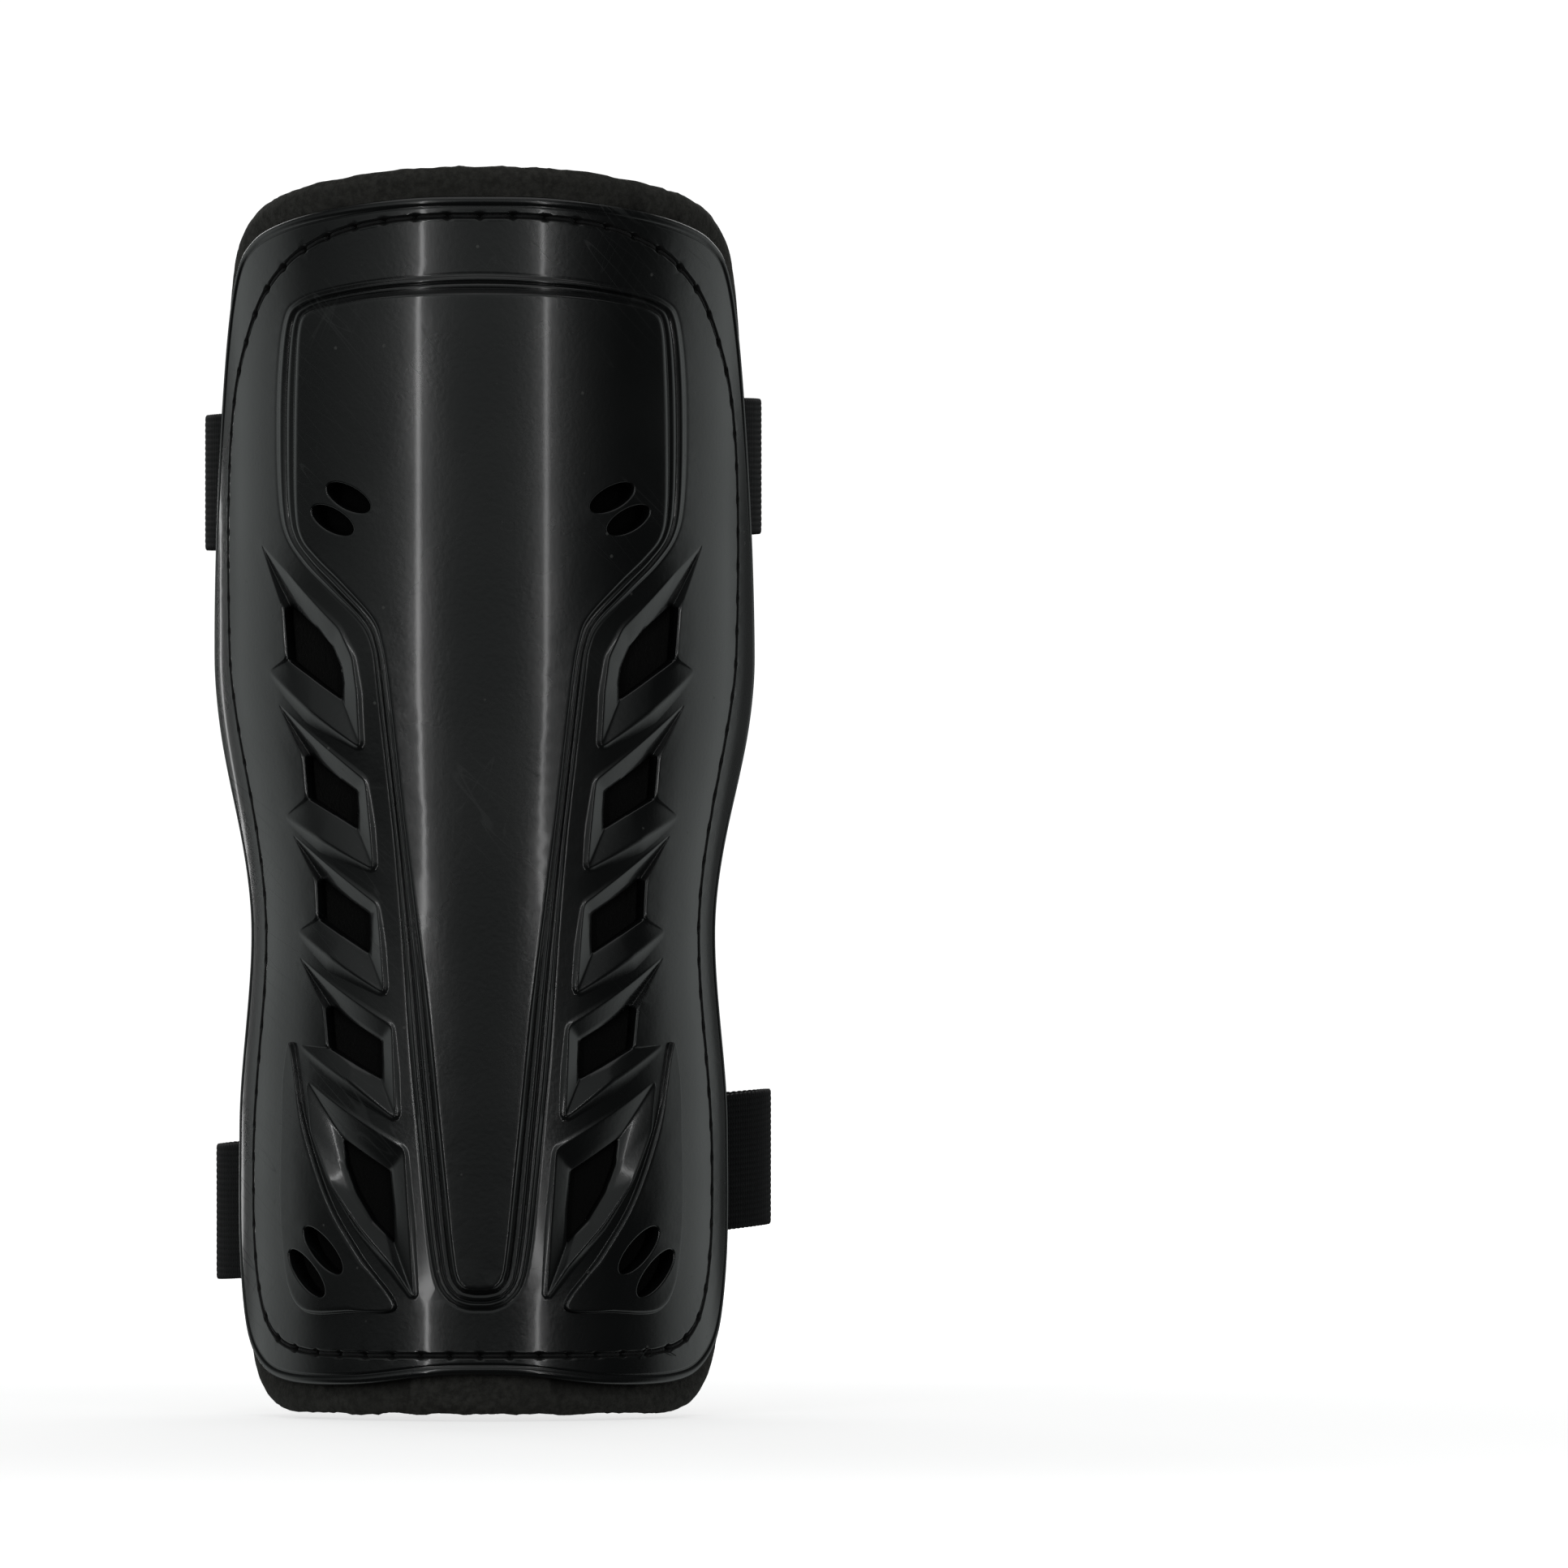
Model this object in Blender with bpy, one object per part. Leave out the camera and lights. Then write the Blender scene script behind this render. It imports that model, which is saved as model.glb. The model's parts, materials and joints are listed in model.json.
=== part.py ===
"""Shin guard: a moulded shell stitched through a fabric faced foam pad, with two elastic straps
that close behind the calf with hook and loop tape.

+Z runs up the leg and -Y faces forward. The origin is on the pad's lining, where the shin rests
against it, half way up the guard. Layouts are drawn as (degrees round the leg, height in mm).
"""

import math

import bmesh
import bpy
from mathutils import Vector
from mathutils.geometry import interpolate_bezier

MM = 0.001

# Overall sizes: the shell's height and the radius of its outside at three heights.
SHELL_HEIGHT = 217 * MM
CALF_RADIUS = 50.2 * MM
WAIST_RADIUS = 43.8 * MM
ANKLE_RADIUS = 45.9 * MM
GAP = 0.3 * MM

# Layers, from the outside in.
SHELL_WALL = 2.4 * MM
FABRIC = 0.6 * MM
FOAM = 5.0 * MM

# Relief of the shell.
PANEL_RISE = 3.0 * MM
LEDGE_RISE = 1.2 * MM
LEDGE_START, LEDGE_END = 0.2, 0.5  # shares of the way from the panel's foot to its face
HOLLOW_FOOT, HOLLOW_FACE = 0.9, 1.3  # the same, for the hollow behind the panel
CORNER_RISE = 1.0 * MM
CORNER_TOP = 0.93  # a corner pad's top face, as a share of its foot
SCOOP_DEPTH = 1.7 * MM

# The pad's flange past the shell's edge.
FLANGE_SIDE = 9.5 * MM
FLANGE_TOP = 5.8 * MM
FLANGE_BOTTOM = 6 * MM

# Thread, and the groove that it lies in.
THREAD_WIDTH = 0.8 * MM
THREAD_THICK = 0.6 * MM
GROOVE_DEPTH = 1.0 * MM

# Straps.
ELASTIC_WIDTH = 25 * MM
ELASTIC_THICK = 1.2 * MM
TAPE_WIDTH = 24 * MM
TAPE_THICK = 1.2 * MM
ANCHOR_ANGLE = 64  # where the sewn end of an elastic starts under the shell, in degrees
HINGE_CLEAR = 1.0 * MM  # from the shell's edge to the line where a strap starts to flex
FLEX_ROOM = 0.9 * MM  # left before a flex line, for the corners that swing back
FOLD_RADIUS = 0.75 * MM
FOLD_LENGTH = 8 * MM
POCKET_ROOM = 1.2 * MM  # round a sewn end, in the pad
POCKET_RAMP = 2.5 * MM

# Closure, along the leg's width from the middle: hook tape from the right, loop tape from the left.
HOOK_TAPE_END = -1.8 * MM
HOOK_TAPE_START = 27 * MM
LOOP_TAPE_END = 22 * MM
LOOP_TAPE_START = -25 * MM
LEFT_FOLD = -9 * MM
TAB_FLEX = -3 * MM
TAB_LENGTH = 20 * MM
TAB_SLOPE = math.radians(20)
STRAIGHT_HALF = 29 * MM
LEAD = 20 * MM  # how far an elastic keeps its direction where it leaves the guard and the closure
STITCH_INSET = 2 * MM

# Layouts, in degrees round the leg from the front ridge and mm up from mid-height, right half only.
DRAWN_HEIGHT = 217
CALF_STATION, WAIST_STATION, ANKLE_STATION = 25, -26, -62
SHELL_EDGE = [
    (0, 109.3), (15.7, 109), (34, 107.2), (48.6, 104.8), (58.4, 101.8), (65.5, 96.5), (71.5, 84),
    (79.5, 58), (86, 37), (90.4, 23), (89.6, 12), (85.5, 2.5), (81.5, -9), (79.2, -26), (79.4, -45),
    (81, -64), (81.6, -77), (79.5, -88), (73, -100), (63, -106.8), (50.7, -109.4), (30.4, -109.5),
    (11.4, -107.8), (0, -107.5),
]
SEAM_LINE = [
    (0, 105.6), (14, 105.4), (28.7, 103.6), (41, 99.8), (49, 95.3), (55.3, 90), (61.5, 82), (66.2, 74),
    (69.2, 64), (70.6, 52), (70.6, 38), (69.6, 25), (67.8, 13), (66.6, -2), (66.4, -20), (66, -38),
    (66.6, -55), (68, -69), (67.2, -84), (63, -95), (56, -101), (46, -103.4), (30, -104), (12, -104),
    (0, -104),
]
PANEL_FOOT = [
    (0, 94.8), (18, 94), (33, 92.3), (42, 90.3), (46, 87), (48, 77), (48.4, 64), (47.6, 53), (45.5, 47),
    (40.5, 42), (33.7, 37), (26, 31), (23.3, 26.5), (22.3, 20.5), (21.3, 9), (20.4, -5), (19.3, -22),
    (17, -42), (14.5, -60), (12.6, -75.5), (11.4, -84), (9.8, -90.5), (6.9, -93.8), (3.3, -95.2),
    (0, -95.4),
]
PANEL_FACE = [
    (0, 91), (17, 90.6), (29, 89.4), (36, 88), (38.5, 85.5), (39.3, 77), (39.7, 64), (39.6, 52),
    (38.3, 46.7), (34.5, 43), (28.5, 38.3), (21.8, 32), (19.8, 27.5), (18.5, 21), (17.4, 9), (16.4, -5),
    (14.5, -22), (11, -42), (8.6, -60), (6.8, -75), (5.7, -84), (4.8, -89), (3.2, -91), (1.5, -91.3),
    (0, -91.4),
]
CORNER_PAD = [
    (50.7, -46.5), (44.2, -62.6), (36.8, -75.8), (28.4, -85.6), (19.5, -95.2), (32, -96.2), (44.2, -96.3),
    (49.8, -92.6), (52.6, -84.5), (53.6, -74.1), (52.8, -58),
]
# Each vent is the rim of its scoop, then the opening, point for point.
VENTS = [
    (
        [(54.6, 45.8), (46, 40.5), (38.4, 35), (31.5, 30), (28, 24.5), (27, 18), (27, 8), (47.3, 23)],
        [
            (46.9, 34.2), (42.5, 32), (38.5, 29.7), (34.6, 26.6), (32.6, 23.2), (32, 20), (31.9, 16.8),
            (45.8, 24),
        ],
    ),
    (
        [(26.6, 1.9), (49.3, 16.2), (44.8, -2.3), (26, -14.4)],
        [(30.5, -0.2), (42.8, 6.5), (43.4, -1.5), (30.8, -7)],
    ),
    (
        [(25.7, -20.9), (50.1, -8), (45, -24.6), (23.4, -37.2)],
        [(29.2, -22.8), (43.5, -16.6), (43.6, -23.8), (29, -29.9)],
    ),
    (
        [(21.3, -43.3), (50.2, -30.6), (40.2, -48.6), (19.6, -60.3)],
        [(25.1, -46.2), (40.5, -40), (38.6, -47.6), (24.4, -53.1)],
    ),
    (
        [(17.7, -66), (44.8, -53.4), (42, -63), (36.5, -72), (28.5, -80.5), (15.3, -93.4)],
        [(22.3, -70.1), (35, -64.3), (33.6, -69), (30.7, -74), (26, -79.3), (20.9, -83.3)],
    ),
]
# Slots: centre in the layout, half length and half width in mm, tilt in degrees.
SLOTS = [
    (27.3, 53.9, 4.7, 2.05, 27), (31, 49.8, 4.7, 2.05, 27),
    (38.7, -84.8, 6.2, 2.3, 39), (43.7, -89.1, 6.2, 2.3, 39),
]
SLOT_SIDES = 12

# Straps: height at mid-width and rise across the width, closure's depth behind the front ridge,
# and how far out the elastic is steered on the right and on the left.
STRAPS = {
    "upper": dict(height=59.2, rise=0.03, depth=78 * MM, steer_right=57 * MM, steer_left=59 * MM),
    "lower": dict(height=-73.8, rise=0.1, depth=70 * MM, steer_right=64 * MM, steer_left=57 * MM),
}

# How finely the wrapped layers are faceted.
FACET = math.radians(8)
ROW = 12 * MM
OUTLINE_STEPS = 2  # between two points of the shell's edge or of the seam
ELASTIC_STEPS = 14
FOLD_STEPS = 6
TAPE_END_STEPS = 10
SHARP = math.radians(25)
NEAR = 1e-7  # metres: a cut passes through a point this close to it

SHELL_IN = -SHELL_WALL
FABRIC_OUT = SHELL_IN - GAP
FABRIC_IN = FABRIC_OUT - FABRIC
FOAM_OUT = FABRIC_IN - GAP
FOAM_IN = FOAM_OUT - FOAM
LINING_OUT = FOAM_IN - GAP
LINING_IN = LINING_OUT - FABRIC
ANCHOR_MID = SHELL_IN - GAP - ELASTIC_THICK / 2
POCKET_DEPTH = ELASTIC_THICK + GAP
OVERLAP = 1 * MM


# --- From the layout to the flat sheet, and from the flat sheet round the leg ---


def up(height):
    """A layout height in metres, stretched with the shell."""
    return height * SHELL_HEIGHT / DRAWN_HEIGHT


def lay(points):
    """Layout points as places on the flat sheet, in metres."""
    return [(math.radians(degrees) * CALF_RADIUS, up(height)) for degrees, height in points]


def eased(share):
    share = min(max(share, 0), 1)
    return share * share * (3 - 2 * share)


def leg_radius(z):
    """Radius of the shell's outside: full at the calf, drawn in at the waist, fuller at the ankle."""
    calf, waist, ankle = up(CALF_STATION), up(WAIST_STATION), up(ANKLE_STATION)
    if z > waist:
        return WAIST_RADIUS + (CALF_RADIUS - WAIST_RADIUS) * eased((z - waist) / (calf - waist))
    return ANKLE_RADIUS + (WAIST_RADIUS - ANKLE_RADIUS) * eased((z - ankle) / (waist - ankle))


def between(value, step, function):
    """The function read in straight stretches, so that every layer shares the same flat facets."""
    whole = math.floor(value / step)
    share = value / step - whole
    return (1 - share) * function(whole * step) + share * function((whole + 1) * step)


def wrap(point):
    """A point of the flat sheet, as (along, -height over the shell, up), carried round the leg."""
    along, depth, z = point
    angle = along / CALF_RADIUS
    radius = between(z, ROW, leg_radius)
    reach = radius - depth
    return Vector(
        (
            reach * between(angle, FACET, math.sin),
            radius - reach * between(angle, FACET, math.cos) + LINING_IN,
            z,
        )
    )


def mirrored(half):
    """A closed outline from its right half, drawn from the top of the ridge to the bottom."""
    return half + [(-x, z) for x, z in reversed(half[1:-1])]


def smoothed(outline, steps):
    """A closed outline with rounded stretches between its points."""
    count = len(outline)
    points = [Vector(point) for point in outline]
    smooth = []
    for i in range(count):
        before, start, end, after = (points[(i + k) % count] for k in (-1, 0, 1, 2))
        for step in range(steps):
            t = step / steps
            smooth.append(
                0.5
                * (
                    2 * start
                    + (end - before) * t
                    + (2 * before - 5 * start + 4 * end - after) * t**2
                    + (3 * start - before - 3 * end + after) * t**3
                )
            )
    return [(point.x, point.y) for point in smooth]


def normals_of(outline):
    """Outward unit normals of a closed outline that runs clockwise, as the mirrored layouts do."""
    count = len(outline)
    found = []
    for i in range(count):
        (x0, z0), (x1, z1) = outline[i - 1], outline[(i + 1) % count]
        found.append(Vector((z0 - z1, x1 - x0)).normalized())
    return found


def widened(outline, sideways, upward, downward):
    """An outline moved out along its normals, by its own amount on each side."""
    moved = []
    for (x, z), normal in zip(outline, normals_of(outline)):
        vertical = upward if normal.y > 0 else downward
        moved.append((x + normal.x * sideways, z + normal.y * vertical))
    return moved


def mixed(first, second, share):
    return [
        (x0 + (x1 - x0) * share, z0 + (z1 - z0) * share) for (x0, z0), (x1, z1) in zip(first, second)
    ]


# --- Flat solids ---


def lofted(*rings):
    """A closed solid through rings of equally many points, each given as (outline, height)."""
    mesh = bmesh.new()
    loops = [[mesh.verts.new((x, -height, z)) for x, z in outline] for outline, height in rings]
    for lower, upper in zip(loops, loops[1:]):
        for i in range(len(lower)):
            mesh.faces.new((lower[i - 1], lower[i], upper[i], upper[i - 1]))
    mesh.faces.new(loops[0])
    mesh.faces.new(loops[-1])
    bmesh.ops.recalc_face_normals(mesh, faces=mesh.faces)
    return mesh


def slab(outline, low, high):
    return lofted((outline, low), (outline, high))


def flat_loop(outline, width, low, high):
    """A closed band of rectangular section along an outline."""
    mesh = bmesh.new()
    normals = normals_of(outline)
    stations = []
    for (x, z), normal in zip(outline, normals):
        section = [(-width / 2, low), (width / 2, low), (width / 2, high), (-width / 2, high)]
        stations.append(
            [mesh.verts.new((x + normal.x * out, -height, z + normal.y * out)) for out, height in section]
        )
    for i in range(len(stations)):
        for k in range(4):
            first, second = stations[i - 1], stations[i]
            mesh.faces.new((first[k - 1], first[k], second[k], second[k - 1]))
    bmesh.ops.recalc_face_normals(mesh, faces=mesh.faces)
    return mesh


def gathered(parts):
    """Several separate solids in one mesh, to cut with together."""
    whole = bmesh.new()
    for part in parts:
        data = bpy.data.meshes.new("part")
        part.to_mesh(data)
        part.free()
        whole.from_mesh(data)
        bpy.data.meshes.remove(data)
    return whole


def both_sides(outline):
    return [outline, [(-x, z) for x, z in reversed(outline)]]


def combined(base, tool, operation):
    """The Boolean of two flat solids."""
    objects = []
    for part in (base, tool):
        data = bpy.data.meshes.new("flat")
        part.to_mesh(data)
        part.free()
        objects.append(bpy.data.objects.new("flat", data))
        bpy.context.scene.collection.objects.link(objects[-1])
    modifier = objects[0].modifiers.new("combine", "BOOLEAN")
    modifier.operation = operation
    modifier.solver = "EXACT"
    modifier.object = objects[1]
    bpy.context.view_layer.update()
    result = bmesh.new()
    result.from_object(objects[0], bpy.context.evaluated_depsgraph_get())
    for made in objects:
        data = made.data
        bpy.data.objects.remove(made)
        bpy.data.meshes.remove(data)
    return result


def cut(mesh, place, normal, faces):
    """Adds edges where a plane crosses some faces."""
    parts = set(faces)
    for face in faces:
        parts.update(face.edges)
        parts.update(face.verts)
    bmesh.ops.bisect_plane(mesh, geom=list(parts), dist=NEAR, plane_co=place, plane_no=normal)


def facet(mesh):
    """Cuts a flat solid along the rows and columns that the wrap bends at."""
    for axis, step in ((0, FACET * CALF_RADIUS), (2, ROW)):
        reach = [vert.co[axis] for vert in mesh.verts]
        first, last = math.ceil(min(reach) / step), math.floor(max(reach) / step)
        normal = [float(k == axis) for k in range(3)]
        for line in range(first, last + 1):
            cut(mesh, [line * step * part for part in normal], normal, mesh.faces[:])
    return mesh


def wrapped(mesh):
    facet(mesh)
    for vert in mesh.verts:
        vert.co = wrap(vert.co)
    return mesh


# --- Finished objects ---


def finish(name, mesh, look, pivot=None):
    """Turns a mesh into a named object with its own material, hung on its pivot if it has one."""
    colour, roughness = look
    if pivot:
        bmesh.ops.translate(mesh, verts=mesh.verts, vec=-pivot.matrix_world.translation)
    data = bpy.data.meshes.new(name)
    mesh.to_mesh(data)
    mesh.free()
    data.shade_smooth()
    data.set_sharp_from_angle(angle=SHARP)
    part = bpy.data.objects.new(name, data)
    part.parent = pivot
    bpy.context.scene.collection.objects.link(part)
    material = bpy.data.materials.new(name)
    material.use_nodes = True
    surface = material.node_tree.nodes["Principled BSDF"]
    surface.inputs["Base Color"].default_value = (*colour, 1)
    surface.inputs["Roughness"].default_value = roughness
    surface.inputs["Metallic"].default_value = 0
    data.materials.append(material)
    return part


def pivot_at(name, place, parent=None):
    pivot = bpy.data.objects.new(name, None)
    pivot.parent = parent
    pivot.location = place - parent.matrix_world.translation if parent else place
    bpy.context.scene.collection.objects.link(pivot)
    bpy.context.view_layer.update()
    return pivot


# Each look is a base colour and a roughness.
GLOSSY_SHELL = ((0.012, 0.013, 0.015), 0.18)
BRUSHED_FABRIC = ((0.033, 0.031, 0.028), 0.9)
CUT_FOAM = ((0.045, 0.043, 0.041), 0.95)
WEBBING = ((0.020, 0.021, 0.024), 0.75)
HOOKS = ((0.014, 0.014, 0.016), 0.8)
LOOPS = ((0.014, 0.014, 0.016), 0.85)
THREAD = ((0.008, 0.008, 0.009), 0.6)


# --- The shell ---


def shell_edge():
    return smoothed(mirrored(lay(SHELL_EDGE)), OUTLINE_STEPS)


def seam_path():
    return smoothed(mirrored(lay(SEAM_LINE)), OUTLINE_STEPS)


def edge_along(z):
    """How far round the flat sheet the shell's right edge is, at a height."""
    crossings = []
    outline = shell_edge()
    for (x0, z0), (x1, z1) in zip(outline, outline[1:]):
        if x0 > 0 and (z0 - z) * (z1 - z) <= 0 and z0 != z1:
            crossings.append(x0 + (x1 - x0) * (z - z0) / (z1 - z0))
    return max(crossings)


def slot(degrees, height, half_length, half_width, tilt):
    """The outline of one oval slot."""
    (centre_x, centre_z), = lay([(degrees, height)])
    turn = math.radians(tilt)
    outline = []
    for side in range(SLOT_SIDES):
        angle = 2 * math.pi * side / SLOT_SIDES
        along, across = half_length * MM * math.cos(angle), half_width * MM * math.sin(angle)
        outline.append(
            (
                centre_x + along * math.cos(turn) - across * math.sin(turn),
                centre_z + along * math.sin(turn) + across * math.cos(turn),
            )
        )
    return outline


def make_shell():
    foot, face = mirrored(lay(PANEL_FOOT)), mirrored(lay(PANEL_FACE))
    shell = slab(shell_edge(), SHELL_IN, 0)
    panel = lofted(
        (foot, -OVERLAP),
        (foot, 0),
        (mixed(foot, face, LEDGE_START), LEDGE_RISE),
        (mixed(foot, face, LEDGE_END), LEDGE_RISE),
        (face, PANEL_RISE),
    )
    shell = combined(shell, panel, "UNION")
    hollow = lofted(
        (mixed(foot, face, HOLLOW_FOOT), SHELL_IN - OVERLAP),
        (mixed(foot, face, HOLLOW_FACE), PANEL_RISE + SHELL_IN),
    )
    shell = combined(shell, hollow, "DIFFERENCE")
    pads = [
        lofted((side, -OVERLAP), (side, 0), (inner, CORNER_RISE))
        for side, inner in zip(
            both_sides(lay(CORNER_PAD)), both_sides(drawn_in(lay(CORNER_PAD), CORNER_TOP))
        )
    ]
    shell = combined(shell, gathered(pads), "UNION")
    holes = []
    for rim, opening in VENTS:
        for outer, inner in zip(both_sides(lay(rim)), both_sides(lay(opening))):
            # The funnel's slope carries on upwards from the rim, as far again as it goes down.
            holes.append(
                lofted(
                    (mixed(outer, inner, -1), SCOOP_DEPTH),
                    (inner, -SCOOP_DEPTH),
                    (inner, SHELL_IN - OVERLAP),
                )
            )
    for sizes in SLOTS:
        for outline in both_sides(slot(*sizes)):
            holes.append(slab(outline, SHELL_IN - OVERLAP, PANEL_RISE + OVERLAP))
    shell = combined(shell, gathered(holes), "DIFFERENCE")
    groove = flat_loop(seam_path(), THREAD_WIDTH + 2 * GAP, -GROOVE_DEPTH, OVERLAP)
    shell = combined(shell, groove, "DIFFERENCE")
    finish("outer_shell", wrapped(shell), GLOSSY_SHELL)


def drawn_in(outline, share):
    """An outline shrunk about its own middle."""
    middle = sum((Vector(point) for point in outline), Vector((0, 0))) / len(outline)
    return [tuple(middle + (Vector(point) - middle) * share) for point in outline]


# --- The pad: two fabric faces bonded to a foam core, dished where the elastics are sewn in ---


def anchor_height(strap, along):
    """Mid-height of a strap at a distance across the guard."""
    return up(strap["height"]) + strap["rise"] * along


def flex_along(strap, side):
    """Where an elastic leaves the shell: past its edge over the elastic's whole width."""
    middle = anchor_height(strap, side * CALF_RADIUS)
    heights = [middle + share * ELASTIC_WIDTH / 2 for share in (-1, -0.5, 0, 0.5, 1)]
    return max(edge_along(z) for z in heights) + HINGE_CLEAR


def pockets():
    """(side, mid-height, start) of each sewn end's place in the pad."""
    start = math.radians(ANCHOR_ANGLE) * CALF_RADIUS - POCKET_ROOM
    return [
        (side, anchor_height(strap, side * CALF_RADIUS), start)
        for strap in STRAPS.values()
        for side in (-1, 1)
    ]


def dish(along, z):
    """How deep the pad is pressed in at a place on the flat sheet."""
    depth = 0
    half = ELASTIC_WIDTH / 2 + POCKET_ROOM
    for side, middle, start in pockets():
        beyond = max(abs(z - middle) - half, start - side * along, 0)
        depth = max(depth, POCKET_DEPTH * (1 - beyond / POCKET_RAMP))
    return depth


def pad_outline():
    return widened(shell_edge(), FLANGE_SIDE, FLANGE_TOP, FLANGE_BOTTOM)


def pad_layer(outer, inner, dished_inside):
    """One layer of the pad, cut finely enough to dish round the sewn ends."""
    mesh = facet(slab(pad_outline(), inner, outer))
    half = ELASTIC_WIDTH / 2 + POCKET_ROOM
    for side, middle, start in pockets():
        rim = start - POCKET_RAMP
        for edge in (rim, start):
            cut(mesh, (side * edge, 0, 0), (1, 0, 0), faces_round(mesh, side, middle))
        for offset in (-half - POCKET_RAMP, -half, half, half + POCKET_RAMP):
            reach = [face for face in faces_round(mesh, side, middle) if inside(face, side * rim, side)]
            cut(mesh, (0, 0, middle + offset), (0, 0, 1), reach)
        for end in (-1, 1):
            corner = Vector((side * start, 0, middle + end * half))
            mitred = [face for face in mesh.faces if in_corner(face, corner, side, end)]
            cut(mesh, corner, (end, 0, side), mitred)
    for vert in mesh.verts:
        outside = -vert.co.y > (outer + inner) / 2
        if outside or dished_inside:
            vert.co.y += dish(vert.co.x, vert.co.z)
        vert.co = wrap(vert.co)
    return mesh


def faces_round(mesh, side, middle):
    """Faces of the half sheet that a pocket's cuts may cross."""
    reach = ELASTIC_WIDTH / 2 + POCKET_ROOM + POCKET_RAMP + ROW
    return [
        face
        for face in mesh.faces
        if side * face.calc_center_bounds().x > 0 and abs(face.calc_center_bounds().z - middle) < reach
    ]


def inside(face, edge, side):
    return all(side * (vert.co.x - edge) > -1e-6 for vert in face.verts)


def in_corner(face, corner, side, end):
    """Whether a face lies in the square where two ramps of a pocket meet."""
    offset = face.calc_center_median() - corner
    return 0 < -side * offset.x < POCKET_RAMP and 0 < end * offset.z < POCKET_RAMP


def make_pad():
    finish("face_fabric", pad_layer(FABRIC_OUT, FABRIC_IN, True), BRUSHED_FABRIC)
    finish("foam_core", pad_layer(FOAM_OUT, FOAM_IN, False), CUT_FOAM)
    finish("lining", wrapped(slab(pad_outline(), LINING_IN, LINING_OUT)), BRUSHED_FABRIC)


def make_seams():
    lows = {"shell_stitching": THREAD_THICK - GROOVE_DEPTH + GAP, "lining_stitching": LINING_IN - GAP}
    for name, top in lows.items():
        mesh = wrapped(flat_loop(seam_path(), THREAD_WIDTH, top - THREAD_THICK, top))
        finish(name, mesh, THREAD)


# --- The straps ---


def ribbon(path, thick, width, strap):
    """A strip of webbing that stands on edge along a plan path of (x, y) points."""
    left, right = [], []
    for i, point in enumerate(path):
        before, after = path[max(i - 1, 0)], path[min(i + 1, len(path) - 1)]
        ahead = (after - before).normalized()
        aside = Vector((-ahead.y, ahead.x)) * thick / 2
        left.append(point + aside)
        right.append(point - aside)
    mesh = bmesh.new()
    outline = left + right[::-1]
    bottom = mesh.faces.new([mesh.verts.new((point.x, point.y, -width / 2)) for point in outline])
    pushed = bmesh.ops.extrude_face_region(mesh, geom=[bottom])["geom"]
    top = [part for part in pushed if isinstance(part, bmesh.types.BMVert)]
    bmesh.ops.translate(mesh, verts=top, vec=(0, 0, width))
    return raised(mesh, strap)


def raised(mesh, strap):
    """Lifts a strap's piece to its height, with the rise across the guard."""
    for vert in mesh.verts:
        vert.co.z += anchor_height(strap, vert.co.x)
    bmesh.ops.recalc_face_normals(mesh, faces=mesh.faces)
    return mesh


def turned_back(start, end):
    """A straight run with its end folded back on its left: the path's points."""
    ahead = (end - start).normalized()
    aside = Vector((-ahead.y, ahead.x))
    centre = end + aside * FOLD_RADIUS
    bend = []
    for step in range(1, FOLD_STEPS):
        angle = math.pi * step / FOLD_STEPS
        bend.append(centre + (ahead * math.sin(angle) - aside * math.cos(angle)) * FOLD_RADIUS)
    back = end + 2 * aside * FOLD_RADIUS
    return [start, end, *bend, back, back - ahead * FOLD_LENGTH]


def tape(start, end, depth, strap, round_end):
    """Flat tape across the back of the leg, standing on edge, with a rounded end if wanted."""
    half = TAPE_WIDTH / 2
    outline = [(start, -half), (start, half), (end, half), (end, -half)]
    if round_end:
        middle = end - half
        arc = [math.pi * (0.5 - step / TAPE_END_STEPS) for step in range(TAPE_END_STEPS + 1)]
        outline = outline[:2] + [(middle + half * math.cos(a), half * math.sin(a)) for a in arc]
    mesh = lofted((outline, -depth), (outline, -depth - TAPE_THICK))
    return raised(mesh, strap)


def box_stitch(left, right, depth, strap):
    """Thread sewn round a rectangle, lying on a face that looks backward."""
    half = TAPE_WIDTH / 2 - STITCH_INSET
    outline = [(left, half), (right, half), (right, -half), (left, -half)]
    return raised(flat_loop(outline, THREAD_WIDTH, -depth - THREAD_THICK, -depth), strap)


def anchor(name, strap, side):
    """The end of an elastic that is sewn between the shell and the pad."""
    start = math.radians(ANCHOR_ANGLE) * CALF_RADIUS
    end = flex_along(strap, side) - FLEX_ROOM
    middle = anchor_height(strap, side * CALF_RADIUS)
    half = ELASTIC_WIDTH / 2
    low, high = (side * start, side * end)
    outline = [(low, middle - half), (low, middle + half), (high, middle + half), (high, middle - half)]
    mesh = slab(outline, ANCHOR_MID - ELASTIC_THICK / 2, ANCHOR_MID + ELASTIC_THICK / 2)
    finish(name, wrapped(mesh), WEBBING)


def flex_point(strap, side):
    along = side * flex_along(strap, side)
    return wrap((along, -ANCHOR_MID, anchor_height(strap, side * CALF_RADIUS)))


def curve_back(start, steer, back, side):
    """The elastic's plan path from the guard's edge round to the straight stretch behind the leg."""
    points = interpolate_bezier(
        (start.x, start.y, 0),
        (side * steer, start.y + LEAD, 0),
        (side * (STRAIGHT_HALF + LEAD), back, 0),
        (side * STRAIGHT_HALF, back, 0),
        ELASTIC_STEPS,
    )
    return [Vector((point.x, point.y)) for point in points]


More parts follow.
